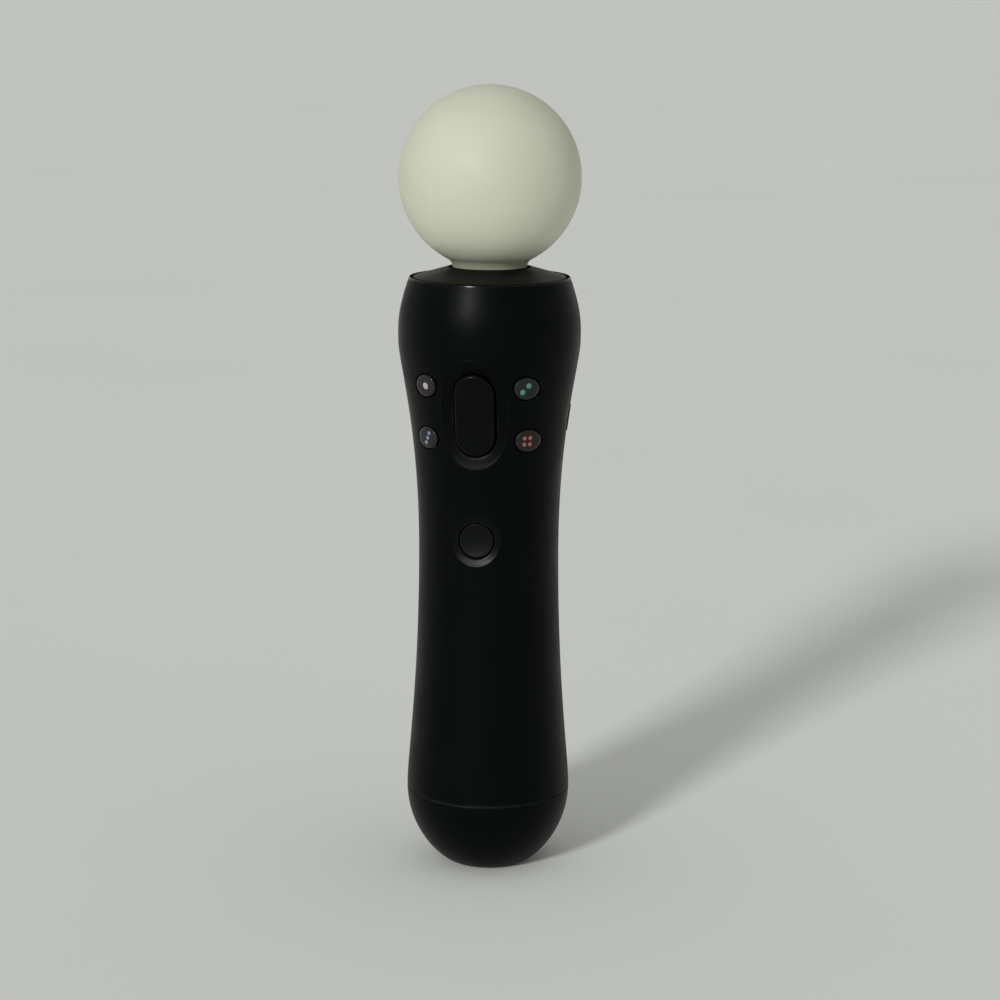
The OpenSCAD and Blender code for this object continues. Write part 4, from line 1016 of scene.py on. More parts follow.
    def repeat(self, name: str, spots: Sequence[tuple[Point, Point]], part: bpy.types.Mesh,
               finish: bpy.types.Material, size: float = 1.0) -> bpy.types.Mesh:
        """Sets copies of a part on points.

        Args:
            name: Name of the mesh.
            spots: Each copy's place and direction.
            part: The part, drawn along +Z at the origin.
            finish: Material of the copies.
            size: Scale of the part.

        Returns:
            One plain mesh with every copy.
        """
        points = bpy.data.meshes.new("spots")
        points.from_pydata([tuple(c * MM for c in at) for at, _ in spots], [], [])
        heading = points.attributes.new(OUTWARD, "FLOAT_VECTOR", "POINT")
        for row, (_, outward) in zip(heading.data, spots):
            row.vector = outward
        master = bpy.data.objects.new("part", part)
        bpy.context.scene.collection.objects.link(master)
        ids = self.copy_ids
        values = {ids["Part"]: master, ids["Size"]: size, ids["Finish"]: finish}
        mesh = self._bake(name, points, self.copies, values)
        bpy.data.objects.remove(master)
        return tidy_mesh(mesh)


@dataclass
class Skin:
    """A surface of revolution, laid flat as arc round and arc along."""

    rows: list[Flat]
    start: float

    @cached_property
    def radii(self) -> list[float]:
        """Radius of each row."""
        return [r for r, _ in self.rows]

    @cached_property
    def heights(self) -> list[float]:
        """Height of each row."""
        return [z for _, z in self.rows]

    @cached_property
    def lengths(self) -> list[float]:
        """Arc length at each row."""
        return arc_lengths(self.rows)

    def along(self, z: float) -> float:
        """Arc length at a height."""
        return lookup(self.heights, self.lengths, z)

    def lift(self, u: float, v: float) -> Point:
        """Gives the point in space of a flat point.

        Args:
            u: Arc round the axis.
            v: Arc along the surface.

        Returns:
            The point.
        """
        r = lookup(self.lengths, self.radii, v)
        turn = self.start + u / WRAP
        return (r * math.cos(turn), r * math.sin(turn), lookup(self.lengths, self.heights, v))

    def lay(self, point: Point) -> Flat:
        """Flat point of a point in space."""
        turn = (math.atan2(point[1], point[0]) - self.start) % FULL_TURN
        return (turn * WRAP, self.along(point[2]))


@dataclass
class Opening:
    """Rings of a hole or recess, from the outer face inwards and from the inner face outwards."""

    outer: list[Ring]
    inner: list[Ring]
    through: bool = True


def straight_hole(facing: Facing, outline: Stadium | Slab, fillet: float = 0.3) -> Opening:
    """Hole cut straight through the casing's wall, with a rounded edge.

    Args:
        facing: Side that it is cut from.
        outline: Its outline, seen from that side.
        fillet: Radius of its edge.

    Returns:
        The opening.
    """
    outer = [[facing.point(a, BODY.out(a, z) - fillet * sunk, z) for a, z in outline.at(fillet * grown)]
             for grown, sunk in HOLE_EDGE]
    inner = [[facing.point(a, BODY.out(a, z, -BODY.wall), z) for a, z in outline.at(0.0)]]
    return Opening(outer, inner)


@dataclass(frozen=True)
class EdgeStep:
    """One ring round a casing half's edge: inset and depth at its sides, low end, and place at the rim."""

    inset: float
    sink: float
    low: float
    top_r: float
    top_z: float


@dataclass
class CasingHalf:
    """One half of the grip casing, with its openings."""

    start: float
    openings: list[Opening]
    step: float = 1.0
    inner_step: float = 2.6
    across: int = 84
    up: int = 150
    ledge_z: float = 150.8
    pocket_r: float = 19.45
    pocket_sinks: Flat = (0.7, 1.3)
    side_edge: float = 0.2
    shaded_top: float = 0.06
    rim: tuple[Flat, ...] = ((0.0, 0.6), (-0.03, 0.42), (-0.03, 0.26), (0.03, 0.12), (0.13, 0.03), (0.3, 0.0))

    def finish_rim(self, shop: Workshop, piece: bpy.types.Object) -> None:
        """Polishes the rim's rounded edge and paints its top near-black without reflection: painted shade."""
        shop.repaint(piece, POLISHED_RIM, lambda at: at.z > BODY.rim_z - self.rim[0][1])
        # The rim's top is painted near-black: painted shade.
        shop.repaint(piece, SHADE_BLACK, lambda at: at.z > BODY.rim_z - self.shaded_top)

    def steps(self) -> list[EdgeStep]:
        """Lists the rings from the outer face over the rounded edge to the inner face.

        Returns:
            The rings in order.
        """
        e, rim, low = self.side_edge, BODY.rim_z, BODY.seam_z + BODY.seam_gap
        rows = [EdgeStep(e * grown, e * sunk, low + e * grown, BODY.radius(rim - drop) - inset, rim - drop)
                for (grown, sunk), (inset, drop) in zip(quarter(len(self.rim) - 1), self.rim)]
        inside = ((self.pocket_sinks[0], self.pocket_r, rim),
                  (self.pocket_sinks[1], self.pocket_r, self.ledge_z),
                  (BODY.wall, BODY.radius(self.ledge_z) - BODY.wall, self.ledge_z))
        return rows + [replace(rows[-1], sink=sink, top_r=r, top_z=z) for sink, r, z in inside]

    def edge_ring(self, step: EdgeStep) -> tuple[Ring, list[Flat]]:
        """Draws a ring round the half's edge.

        Args:
            step: Where the ring runs.

        Returns:
            Its points, and its arcs round and heights.
        """
        turn = step.inset / WRAP
        points, flat = [], []
        for fx, fz in border((0.0, 0.0), (1.0, 1.0), self.across, self.up):
            angle = turn + (math.pi - 2 * turn) * fx
            z = step.low + (step.top_z - step.low) * fz
            r = step.top_r if fz == 1.0 else BODY.radius(z) - step.sink
            points.append((r * math.cos(self.start + angle), r * math.sin(self.start + angle), z))
            flat.append((angle * WRAP, z))
        return points, flat

    def build(self) -> Draft:
        """Draws the half: outer face, inner face, edge and openings.

        Returns:
            The half.
        """
        draft = Draft()
        outer = Skin(BODY.shell, self.start)
        inner = Skin([(r - BODY.wall, z) for r, z in BODY.shell], self.start)
        rings = [self.edge_ring(s) for s in self.steps()]
        outer_edge = [(u, outer.along(z)) for u, z in rings[0][1]]
        inner_edge = [(u, inner.along(z)) for u, z in rings[-1][1]]
        outside = draft.sheet([outer_edge] + [[outer.lay(p) for p in o.outer[0]] for o in self.openings],
                              self.step, outer.lift)
        inside = draft.sheet([inner_edge] + [[inner.lay(p) for p in o.inner[0]] for o in self.openings],
                             self.inner_step, inner.lift)
        draft.strip(outside[0], [r for r, _ in rings[1:-1]], inside[0])
        for o, a, b in zip(self.openings, outside[1:], inside[1:]):
            if o.through:
                draft.strip(a, o.outer[1:] + o.inner[:0:-1], b)
            else:
                draft.strip(a, o.outer[1:])
                draft.strip(b, o.inner[1:])
        return draft


@dataclass
class FrontCasing:
    """Button side of the casing: scooped recess, home dish and four round holes."""

    controls_z: float = 120.15
    hole: Flat = (10.8, 21.6)
    reach: float = 13.95
    depth: float = 2.1
    bow_low: float = 3.0
    bow_high: float = 2.0
    tilt: float = math.radians(8.09709)
    settling: int = 6
    middle_r: float = 20.8298
    pad: Flat = (14.2, 29.3)
    guide_y: float = -15.2485
    face_x: float = 12.6
    face_z: float = 6.7
    face_hole: float = 6.2
    home_z: float = 88.0
    home_hole: float = 9.2
    home_pad: float = 11.6
    home_guide_y: float = -14.7451
    bowl_side_r: float = 87.6601
    bowl_up_r: float = 16.8083
    bowl_y: float = -104.205
    bowl_skin: float = 0.03
    lip: float = 0.14
    lip_reach: float = 7.0
    bead: float = 0.09
    bead_half: float = 0.42
    dish_bead: float = 0.02
    lip_rows: tuple[float, ...] = (0.9, 0.6, 0.42, 0.32, 0.22, 0.13, 0.05,
                                   -0.05, -0.13, -0.22, -0.32, -0.42, -0.6, -0.9)
    floor_rows: Flat = (0.7, 0.35)
    floor_start: float = 0.3
    floor_loss: float = 1.2
    hole_edge: tuple[Flat, ...] = ((0.16, 0.0), (0.05, 0.05), (0.0, 0.16))

    def scoop(self, x: float, z: float) -> float:
        """Gives the depth of the recess, which is flat across the body and bowed along it.

        Args:
            x: Place across, which changes nothing here.
            z: Height.

        Returns:
            The floor's place along Y.
        """
        along, sunk = z - self.controls_z, 0.0
        for _ in range(self.settling):
            share = along / self.reach
            sunk = self.depth * (1 - abs(share) ** (self.bow_low if share < 0 else self.bow_high))
            along = (z - self.controls_z - sunk * math.sin(self.tilt)) / math.cos(self.tilt)
        return -self.middle_r - along * math.sin(self.tilt) + sunk * math.cos(self.tilt)

    def bowl(self, x: float, z: float) -> float:
        """Gives the depth of the home dish.

        Args:
            x: Place across.
            z: Height.

        Returns:
            The dish's place along Y.
        """
        up = math.sqrt(max(self.bowl_up_r ** 2 - (z - self.home_z) ** 2, 0.0))
        side = self.bowl_side_r - self.bowl_up_r + up
        return self.bowl_y + math.sqrt(max(side * side - x * x, 0.0))

    def in_bowl(self, at: Vector) -> bool:
        """Tells whether a point of the casing lies on the home dish."""
        return abs(at.z - self.home_z) < self.home_hole and abs(at.y - self.bowl(at.x, at.z)) < self.bowl_skin

    def hollow(self, hole: Stadium, pad: Stadium, floor: Callable[[float, float], float], guide_y: float,
               bead: float) -> Opening:
        """Shallow hollow in the casing's face with a button's hole in its floor.

        Args:
            hole: Outline of the hole.
            pad: Outline of the guide behind it.
            floor: Gives the hollow's depth.
            guide_y: Depth of the guide's face.
            bead: Height of the raised line along its lip.

        Returns:
            The opening.
        """
        rim = hole.at(0.0)
        starts = [math.hypot(x, z - hole.z) for x, z in rim]
        spokes = [(x / d, (z - hole.z) / d) for (x, z), d in zip(rim, starts)]

        def spot(spoke: Flat, d: float) -> Flat:
            """Place on a spoke at a distance from the hole's middle."""
            return spoke[0] * d, hole.z + spoke[1] * d

        def above(spoke: Flat, d: float) -> float:
            """How far the floor lies outside the casing's face there."""
            return -BODY.out(*spot(spoke, d)) - floor(*spot(spoke, d))

        lips = [root(d, d + self.lip_reach, lambda s, c=c: above(c, s)) for c, d in zip(spokes, starts)]
        rings = []
        for off in self.lip_rows:
            raised = bead * (0.5 + 0.5 * math.cos(math.pi * min(abs(off) / self.bead_half, 1.0)))
            ring = []
            for spoke, lip in zip(spokes, lips):
                x, z = spot(spoke, lip + off)
                face = BODY.out(x, z)
                ring.append((x, -soft_min(face, -floor(x, z), self.lip) - raised if rings else -face, z))
            rings.append(ring)
        for share in self.floor_rows:
            spots = [spot(c, d + self.floor_start + (lip - d - self.floor_loss) * share)
                     for c, d, lip in zip(spokes, starts, lips)]
            rings.append([(x, floor(x, z), z) for x, z in spots])
        for grow, sink in self.hole_edge:
            rings.append([(x, floor(x, z) + sink, z) for x, z in hole.at(grow)])
        inner = [[(x, -BODY.out(x, z, -BODY.wall), z) for x, z in pad.at(0.0)],
                 [(x, guide_y, z) for x, z in pad.at(0.0)],
                 [(x, guide_y, z) for x, z in rim]]
        return Opening(rings, inner)

    def dress(self, shop: Workshop) -> None:
        """Makes the front half.

        Args:
            shop: Makes the pieces.
        """
        holes = [straight_hole(Facing.FRONT, Stadium(sx * self.face_x, self.controls_z + sz * self.face_z,
                                                     self.face_hole, self.face_hole, arc=32))
                 for sx in (-1, 1) for sz in (-1, 1)]
        recess = self.hollow(Stadium(0.0, self.controls_z, *self.hole, side=28),
                             Stadium(0.0, self.controls_z, *self.pad, side=28),
                             self.scoop, self.guide_y, self.bead)
        dish = self.hollow(Stadium(0.0, self.home_z, self.home_hole, self.home_hole, arc=40),
                           Stadium(0.0, self.home_z, self.home_pad, self.home_pad, arc=40),
                           self.bowl, self.home_guide_y, self.dish_bead)
        half = CasingHalf(-math.pi, [recess, dish] + holes)
        piece = shop.place("front_casing", half.build().mesh("front_casing"), SATIN_BLACK, "casing", "shell",
                           ["front_shell"])
        half.finish_rim(shop, piece)
        shop.repaint(piece, POLISHED_BLACK, self.in_bowl)


@dataclass
class RearCasing:
    """Trigger side of the casing: trigger opening, screw wells, reset hole and side slots."""

    opening_half: float = 8.2
    opening_low: float = 99.0928
    opening_across: int = 24
    opening_up: int = 36
    pivot_y: float = 15.5486
    pivot_z: float = 121.5
    barrel_r: float = 5.6
    side_y: float = 2.8
    side_z: float = 116.8
    slot_w: float = 4.0
    slot_l: float = 7.6
    reset_z: float = 94.4464
    reset_d: float = 2.1
    wells: tuple[Flat, ...] = ((-14.0772, 28.3), (14.0772, 28.3), (-16.5815, 140.0), (16.5815, 140.0))
    well_d: float = 4.4
    boss_d: float = 6.0
    seat_y: float = 2.9
    boss_y: float = -2.3
    fillet: float = 0.35
    small_fillet: float = 0.2

    def opening_ring(self, grow: float, sink: float, inset: float) -> Ring:
        """Ring of the trigger opening, whose top follows the trigger's barrel.

        Args:
            grow: Distance outside the opening.
            sink: Depth below the face.
            inset: Depth of that face below the casing's.

        Returns:
            The ring's points.
        """
        half, low = self.opening_half + grow, self.opening_low - grow
        shares = spread(-1.0, 1.0, self.opening_across)[:-1]

        def face(x: float, z: float) -> float:
            """Distance out to the ring."""
            return BODY.out(x, z, -inset) - sink

        def top(x: float) -> float:
            """Finds the height of the opening's top.

            Args:
                x: Place across.

            Returns:
                The height.
            """
            def past(z: float) -> float:
                """How far the face lies outside the barrel's room."""
                rise = z - grow - self.pivot_z
                return face(x, z) - self.pivot_y - math.sqrt(max(self.barrel_r ** 2 - rise * rise, 0.0))
            return root(self.pivot_z, self.pivot_z + self.barrel_r + grow, past)

        high = top(half)
        heights = spread(low, high, self.opening_up)[:-1]
        spots = ([(s * half, low) for s in shares] + [(half, z) for z in heights]
                 + [(-s * half, top(s * half)) for s in shares]
                 + [(-half, high + low - z) for z in heights])
        return [(x, face(x, z), z) for x, z in spots]

    def trigger_opening(self) -> Opening:
        """Opening that the trigger stands out of."""
        outer = [self.opening_ring(self.fillet * grown, self.fillet * sunk, 0.0) for grown, sunk in HOLE_EDGE]
        return Opening(outer, [self.opening_ring(0.0, 0.0, BODY.wall)])

    def well(self, x: float, z: float) -> Opening:
        """Draws the blind well over a case screw, with its boss inside.

        Args:
            x: Its place across.
            z: Its height.

        Returns:
            The well.
        """
        bore = Stadium(x, z, self.well_d, self.well_d, arc=20)
        boss = Stadium(x, z, self.boss_d, self.boss_d, arc=20)
        cut = straight_hole(Facing.REAR, bore)
        cut.outer.append([(a, self.seat_y, h) for a, h in bore.at(0.0)])
        cut.inner = [[(a, BODY.out(a, h, -BODY.wall), h) for a, h in boss.at(0.0)],
                     [(a, self.boss_y, h) for a, h in boss.at(0.0)]]
        cut.through = False
        return cut

    def dress(self, shop: Workshop) -> None:
        """Makes the rear half.

        Args:
            shop: Makes the pieces.
        """
        slot = Stadium(self.side_y, self.side_z, self.slot_w, self.slot_l, arc=16, side=8)
        reset = Stadium(0.0, self.reset_z, self.reset_d, self.reset_d, arc=16)
        openings = [self.trigger_opening()]
        openings += [straight_hole(facing, outline, self.small_fillet) for facing, outline in
                     ((Facing.REAR, reset), (Facing.LEFT, slot), (Facing.RIGHT, slot))]
        openings += [self.well(x, z) for x, z in self.wells]
        half = CasingHalf(0.0, openings)
        piece = shop.place("rear_casing", half.build().mesh("rear_casing"), SATIN_BLACK, "casing", "shell",
                           ["rear_shell"])
        half.finish_rim(shop, piece)


@dataclass
class EndCap:
    """Rounded foot with its sockets, charging contacts and strap anchor."""

    usb: Flat = (7.7, 4.0)
    usb_y: float = -4.4
    extension: Flat = (12.0, 3.4)
    extension_y: float = 2.6
    contact_x: float = 6.31902
    contact_hole: float = 2.7
    port_depth: float = 9.5
    port_corner: float = 0.9
    port_edge: tuple[Flat, ...] = ((0.25, 0.0), (0.1, 0.06), (0.0, 0.25))
    strap_w: float = 8.0
    strap_low: float = 2.9
    strap_high: float = 8.3
    strap_back: float = 11.44
    strap_corner: float = 1.0
    strap_fillet: float = 0.4
    bar_r: float = 1.0
    bar_y: float = 14.1385
    bar_z: float = 5.6
    bar_bury: float = 0.4
    bar_steps: int = 24
    step: float = 1.0
    round_steps: int = 180
    up_steps: int = 30
    seam: tuple[Flat, ...] = ((0.0, 0.7), (0.01, 0.58), (0.05, 0.44), (0.16, 0.13), (0.24, 0.03), (0.4, 0.0))
    highlight_depth: float = 0.5
    gap: float = 0.15

    def pocket(self) -> Opening:
        """Draws the blind pocket behind the strap bar.

        Returns:
            The pocket.
        """
        outline = Slab(0.0, (self.strap_low + self.strap_high) / 2, self.strap_w,
                       self.strap_high - self.strap_low, self.strap_corner)
        cut = straight_hole(Facing.REAR, outline, self.strap_fillet)
        cut.outer.append([(a, self.strap_back, z) for a, z in outline.at(0.0)])
        return cut

    def ports(self) -> list[Stadium | Slab]:
        """Outlines the openings in the base.

        Returns:
            Two sockets, then two contacts.
        """
        sockets = [Slab(0.0, y, width + 2 * self.gap, height + 2 * self.gap, self.port_corner)
                   for y, (width, height) in ((self.usb_y, self.usb), (self.extension_y, self.extension))]
        contacts = [Stadium(s * self.contact_x, self.usb_y, self.contact_hole, self.contact_hole, arc=16)
                    for s in (-1, 1)]
        return sockets + contacts

    def bar(self, draft: Draft) -> None:
        """Adds the bar that a strap ties to.

        Args:
            draft: The end cap.
        """
        ends = self.strap_w / 2 + self.bar_bury
        section = arc((self.bar_y, self.bar_z), self.bar_r, 0.0, FULL_TURN, self.bar_steps)[:-1]
        draft.rod([[(x, y, z) for y, z in section] for x in (-ends, ends)])

    def dress(self, shop: Workshop) -> None:
        """Makes the end cap.

        Args:
            shop: Makes the pieces.
        """
        draft = Draft()
        top = BODY.seam_z - BODY.seam_gap
        skin = Skin(BODY.foot, -QUARTER_TURN)
        high = skin.along(top - self.seam[0][1])
        pocket = self.pocket()
        outline = border((0.0, 0.0), (FULL_TURN * WRAP, high), self.round_steps, self.up_steps)
        loops = draft.sheet([outline, [skin.lay(p) for p in pocket.outer[0]]], self.step, skin.lift)
        draft.strip(loops[1], pocket.outer[1:])
        rim = [circle(BODY.radius(top - drop) - inset, top - drop, self.round_steps, skin.start)
               for inset, drop in self.seam]
        draft.strip(draft.ring(rim[0]), rim[1:])
        ports = self.ports()
        foot = [(x, y) for x, y, _ in circle(BODY.base_r, 0.0, self.round_steps, skin.start)]
        base = draft.sheet([foot] + [p.at(self.port_edge[0][0]) for p in ports], self.step,
                           lambda x, y: (x, y, 0.0))
        for port, loop in zip(ports, base[1:]):
            draft.strip(loop, [[(x, y, z) for x, y in port.at(grow)]
                               for grow, z in self.port_edge[1:] + ((0.0, self.port_depth),)])
        self.bar(draft)
        piece = shop.place("foot_cap", draft.mesh("foot_cap"), SATIN_BLACK, "casing", "shell", ["end_cap"])
        # The end cap's top edge gets a lighter grey: a painted highlight line along the seam.
        shop.repaint(piece, SEAM_HIGHLIGHT, lambda at: at.z > top - self.highlight_depth)


@dataclass
class SocketPins:
    """Gilt spring fingers on the tongues of the two sockets, in rows of (number, pitch, tongue face)."""

    rows: tuple[tuple[int, float, float], ...] = ((5, 0.8, -4.9), (9, 0.9, 2.2))
    low: float = 1.9
    high: float = 9.0
    width: float = 0.42
    rise: float = 0.12
    root: float = 0.05
    bevel: float = 0.5

    def finger(self) -> Draft:
        """Draws one finger along +Z, with a bevelled lower end.

        Returns:
            The finger.
        """
        draft = Draft()
        half = self.width / 2
        draft.rod([[(-half, -out, z), (half, -out, z), (half, self.root, z), (-half, self.root, z)]
                   for out, z in ((0.0, 0.0), (self.rise, self.bevel), (self.rise, self.high - self.low))])
        return draft

    def dress(self, shop: Workshop, trees: NodeTrees) -> None:
        """Sets the fingers.

        Args:
            shop: Makes the pieces.
            trees: Holds the node trees.
        """
        spots = [((pitch * (i - (count - 1) / 2), face, self.low), (0.0, 0.0, 1.0))
                 for count, pitch, face in self.rows for i in range(count)]
        mesh = trees.repeat("socket_pins", spots, self.finger().mesh("finger", SMALL_CREASE),
                            BRASS.material(shop.effects))
        shop.place("socket_pins", mesh, None, "casing", "brass")


@dataclass
class LightHead:
    """Top plate and the soft globe over the light."""

    plate_r: float = 19.3
    plate_low: float = 150.85
    plate_hole: float = 9.45
    plate_top: float = 155.1
    plate_edge: float = 0.45
    plate_squat: float = 0.77
    shade_ring: float = 0.9
    plate_lip: tuple[Flat, ...] = ((0.5, 0.04), (0.26, 0.12), (0.08, 0.34), (0.0, 0.7))
    plate_steps: tuple[int, int] = (6, 24)
    globe_r: float = 22.85
    globe_z: float = 177.072
    globe_wall: float = 1.6
    globe_steps: tuple[int, int, int] = (14, 96, 60)
    neck_r: float = 9.3
    neck_low: float = 150.9
    neck_fillet: float = 2.6
    round_steps: int = 160

    def plate_outline(self) -> list[Flat]:
        """Draws the outline of the plate, with a rounded edge.

        Returns:
            Its points as (radius, height).
        """
        rim, e = BODY.rim_z, self.plate_edge
        edge_steps, run_steps = self.plate_steps
        edge = [(self.plate_r - e * sunk, rim - e * self.plate_squat * grown)
                for grown, sunk in quarter(edge_steps)]
        start, end = self.plate_r - e, self.plate_hole + 2 * self.plate_lip[0][0]
        slope = (self.plate_top - rim) / (start - self.plate_hole)
        run = [(r, rim + slope * (start - r)) for r in spread(start, end, run_steps)[1:]]
        lip = [(self.plate_hole + grown, self.plate_top - slope * grown - sunk)
               for grown, sunk in self.plate_lip]
        return [(self.plate_hole, self.plate_low), (self.plate_r, self.plate_low)] + edge + run + lip

    def globe_outline(self) -> list[Flat]:
        """Draws the outline of the globe, its neck and the fillet between them.

        Returns:
            Its points as (radius, height).
        """
        fillet_steps, outer_steps, inner_steps = self.globe_steps
        fillet_r = self.neck_r + self.neck_fillet
        fillet_z = self.globe_z - math.sqrt((self.globe_r + self.neck_fillet) ** 2 - fillet_r ** 2)
        to_globe = math.atan2(self.globe_z - fillet_z, -fillet_r)
        fillet = arc((fillet_r, fillet_z), self.neck_fillet, math.pi, to_globe, fillet_steps)
        middle = (0.0, self.globe_z)
        outer = arc(middle, self.globe_r, to_globe - math.pi, QUARTER_TURN, outer_steps)[1:]
        bore = self.neck_r - self.globe_wall
        inner_r = self.globe_r - self.globe_wall
        inner = arc(middle, inner_r, QUARTER_TURN, -math.acos(bore / inner_r), inner_steps)
        return [(bore, self.neck_low), (self.neck_r, self.neck_low)] + fillet + outer + inner

    def dress(self, shop: Workshop, trees: NodeTrees) -> None:
        """Makes the plate and the globe.

        Args:
            shop: Makes the pieces.
            trees: Holds the node trees.
        """
        plate = trees.turn("crown_plate", self.plate_outline(), PLATE_GREY.material(shop.effects),
                           self.round_steps)
        piece = shop.place("crown_plate", plate, None, "casing", "plate", ["top_plate"])
        # The ring of plate round the neck is painted near-black: painted shade under the globe.
        shop.repaint(piece, SHADE_BLACK, lambda at: math.hypot(at.x, at.y) < self.plate_hole + self.shade_ring)
        globe = trees.turn("soft_globe", self.globe_outline(), IVORY.material(shop.effects), self.round_steps)
        shop.place("soft_globe", globe, None, "casing", "globe", ["light_globe"])


@dataclass
class Cap:
    """A button's cap: its face, rounded edge and straight sides."""

    name: str
    outline: Stadium
    facing: Facing
    depth: Callable[[float, float], float]
    back: float
    fillet: float
    finish: Finish
    step: float = 0.6
    edge_steps: int = 5

    def draft(self) -> Draft:
        """Draws the cap; its depth is its face's distance out from the axis.

        Returns:
            The cap.
        """
        draft = Draft()

        def lift(a: float, z: float) -> Point:
            """Point on the cap's face."""
            return self.facing.point(a, self.depth(a, z), z)

        face = draft.sheet([self.outline.at(-self.fillet)], self.step, lift)[0]
        rings = [[self.facing.point(a, self.depth(a, z) - self.fillet * sunk, z)
                  for a, z in self.outline.at(-self.fillet * grown)]
                 for grown, sunk in quarter(self.edge_steps)]
        rings.append([self.facing.point(a, self.back, z) for a, z in self.outline.at(0.0)])
        draft.strip(face, rings[1:])
        return draft

    def dress(self, shop: Workshop, body: str) -> None:
        """Makes the cap and ties it to its body."""
        shop.place(self.name, self.draft().mesh(self.name), self.finish, body, "button_cap", [body])


@dataclass(frozen=True)
class FaceMark:
    """Pips of one round button: its body, its side and level, and the pips' number, radius and colour."""

    body: str
    side: int
    level: int
    count: int
    r: float
    colour: Rgb


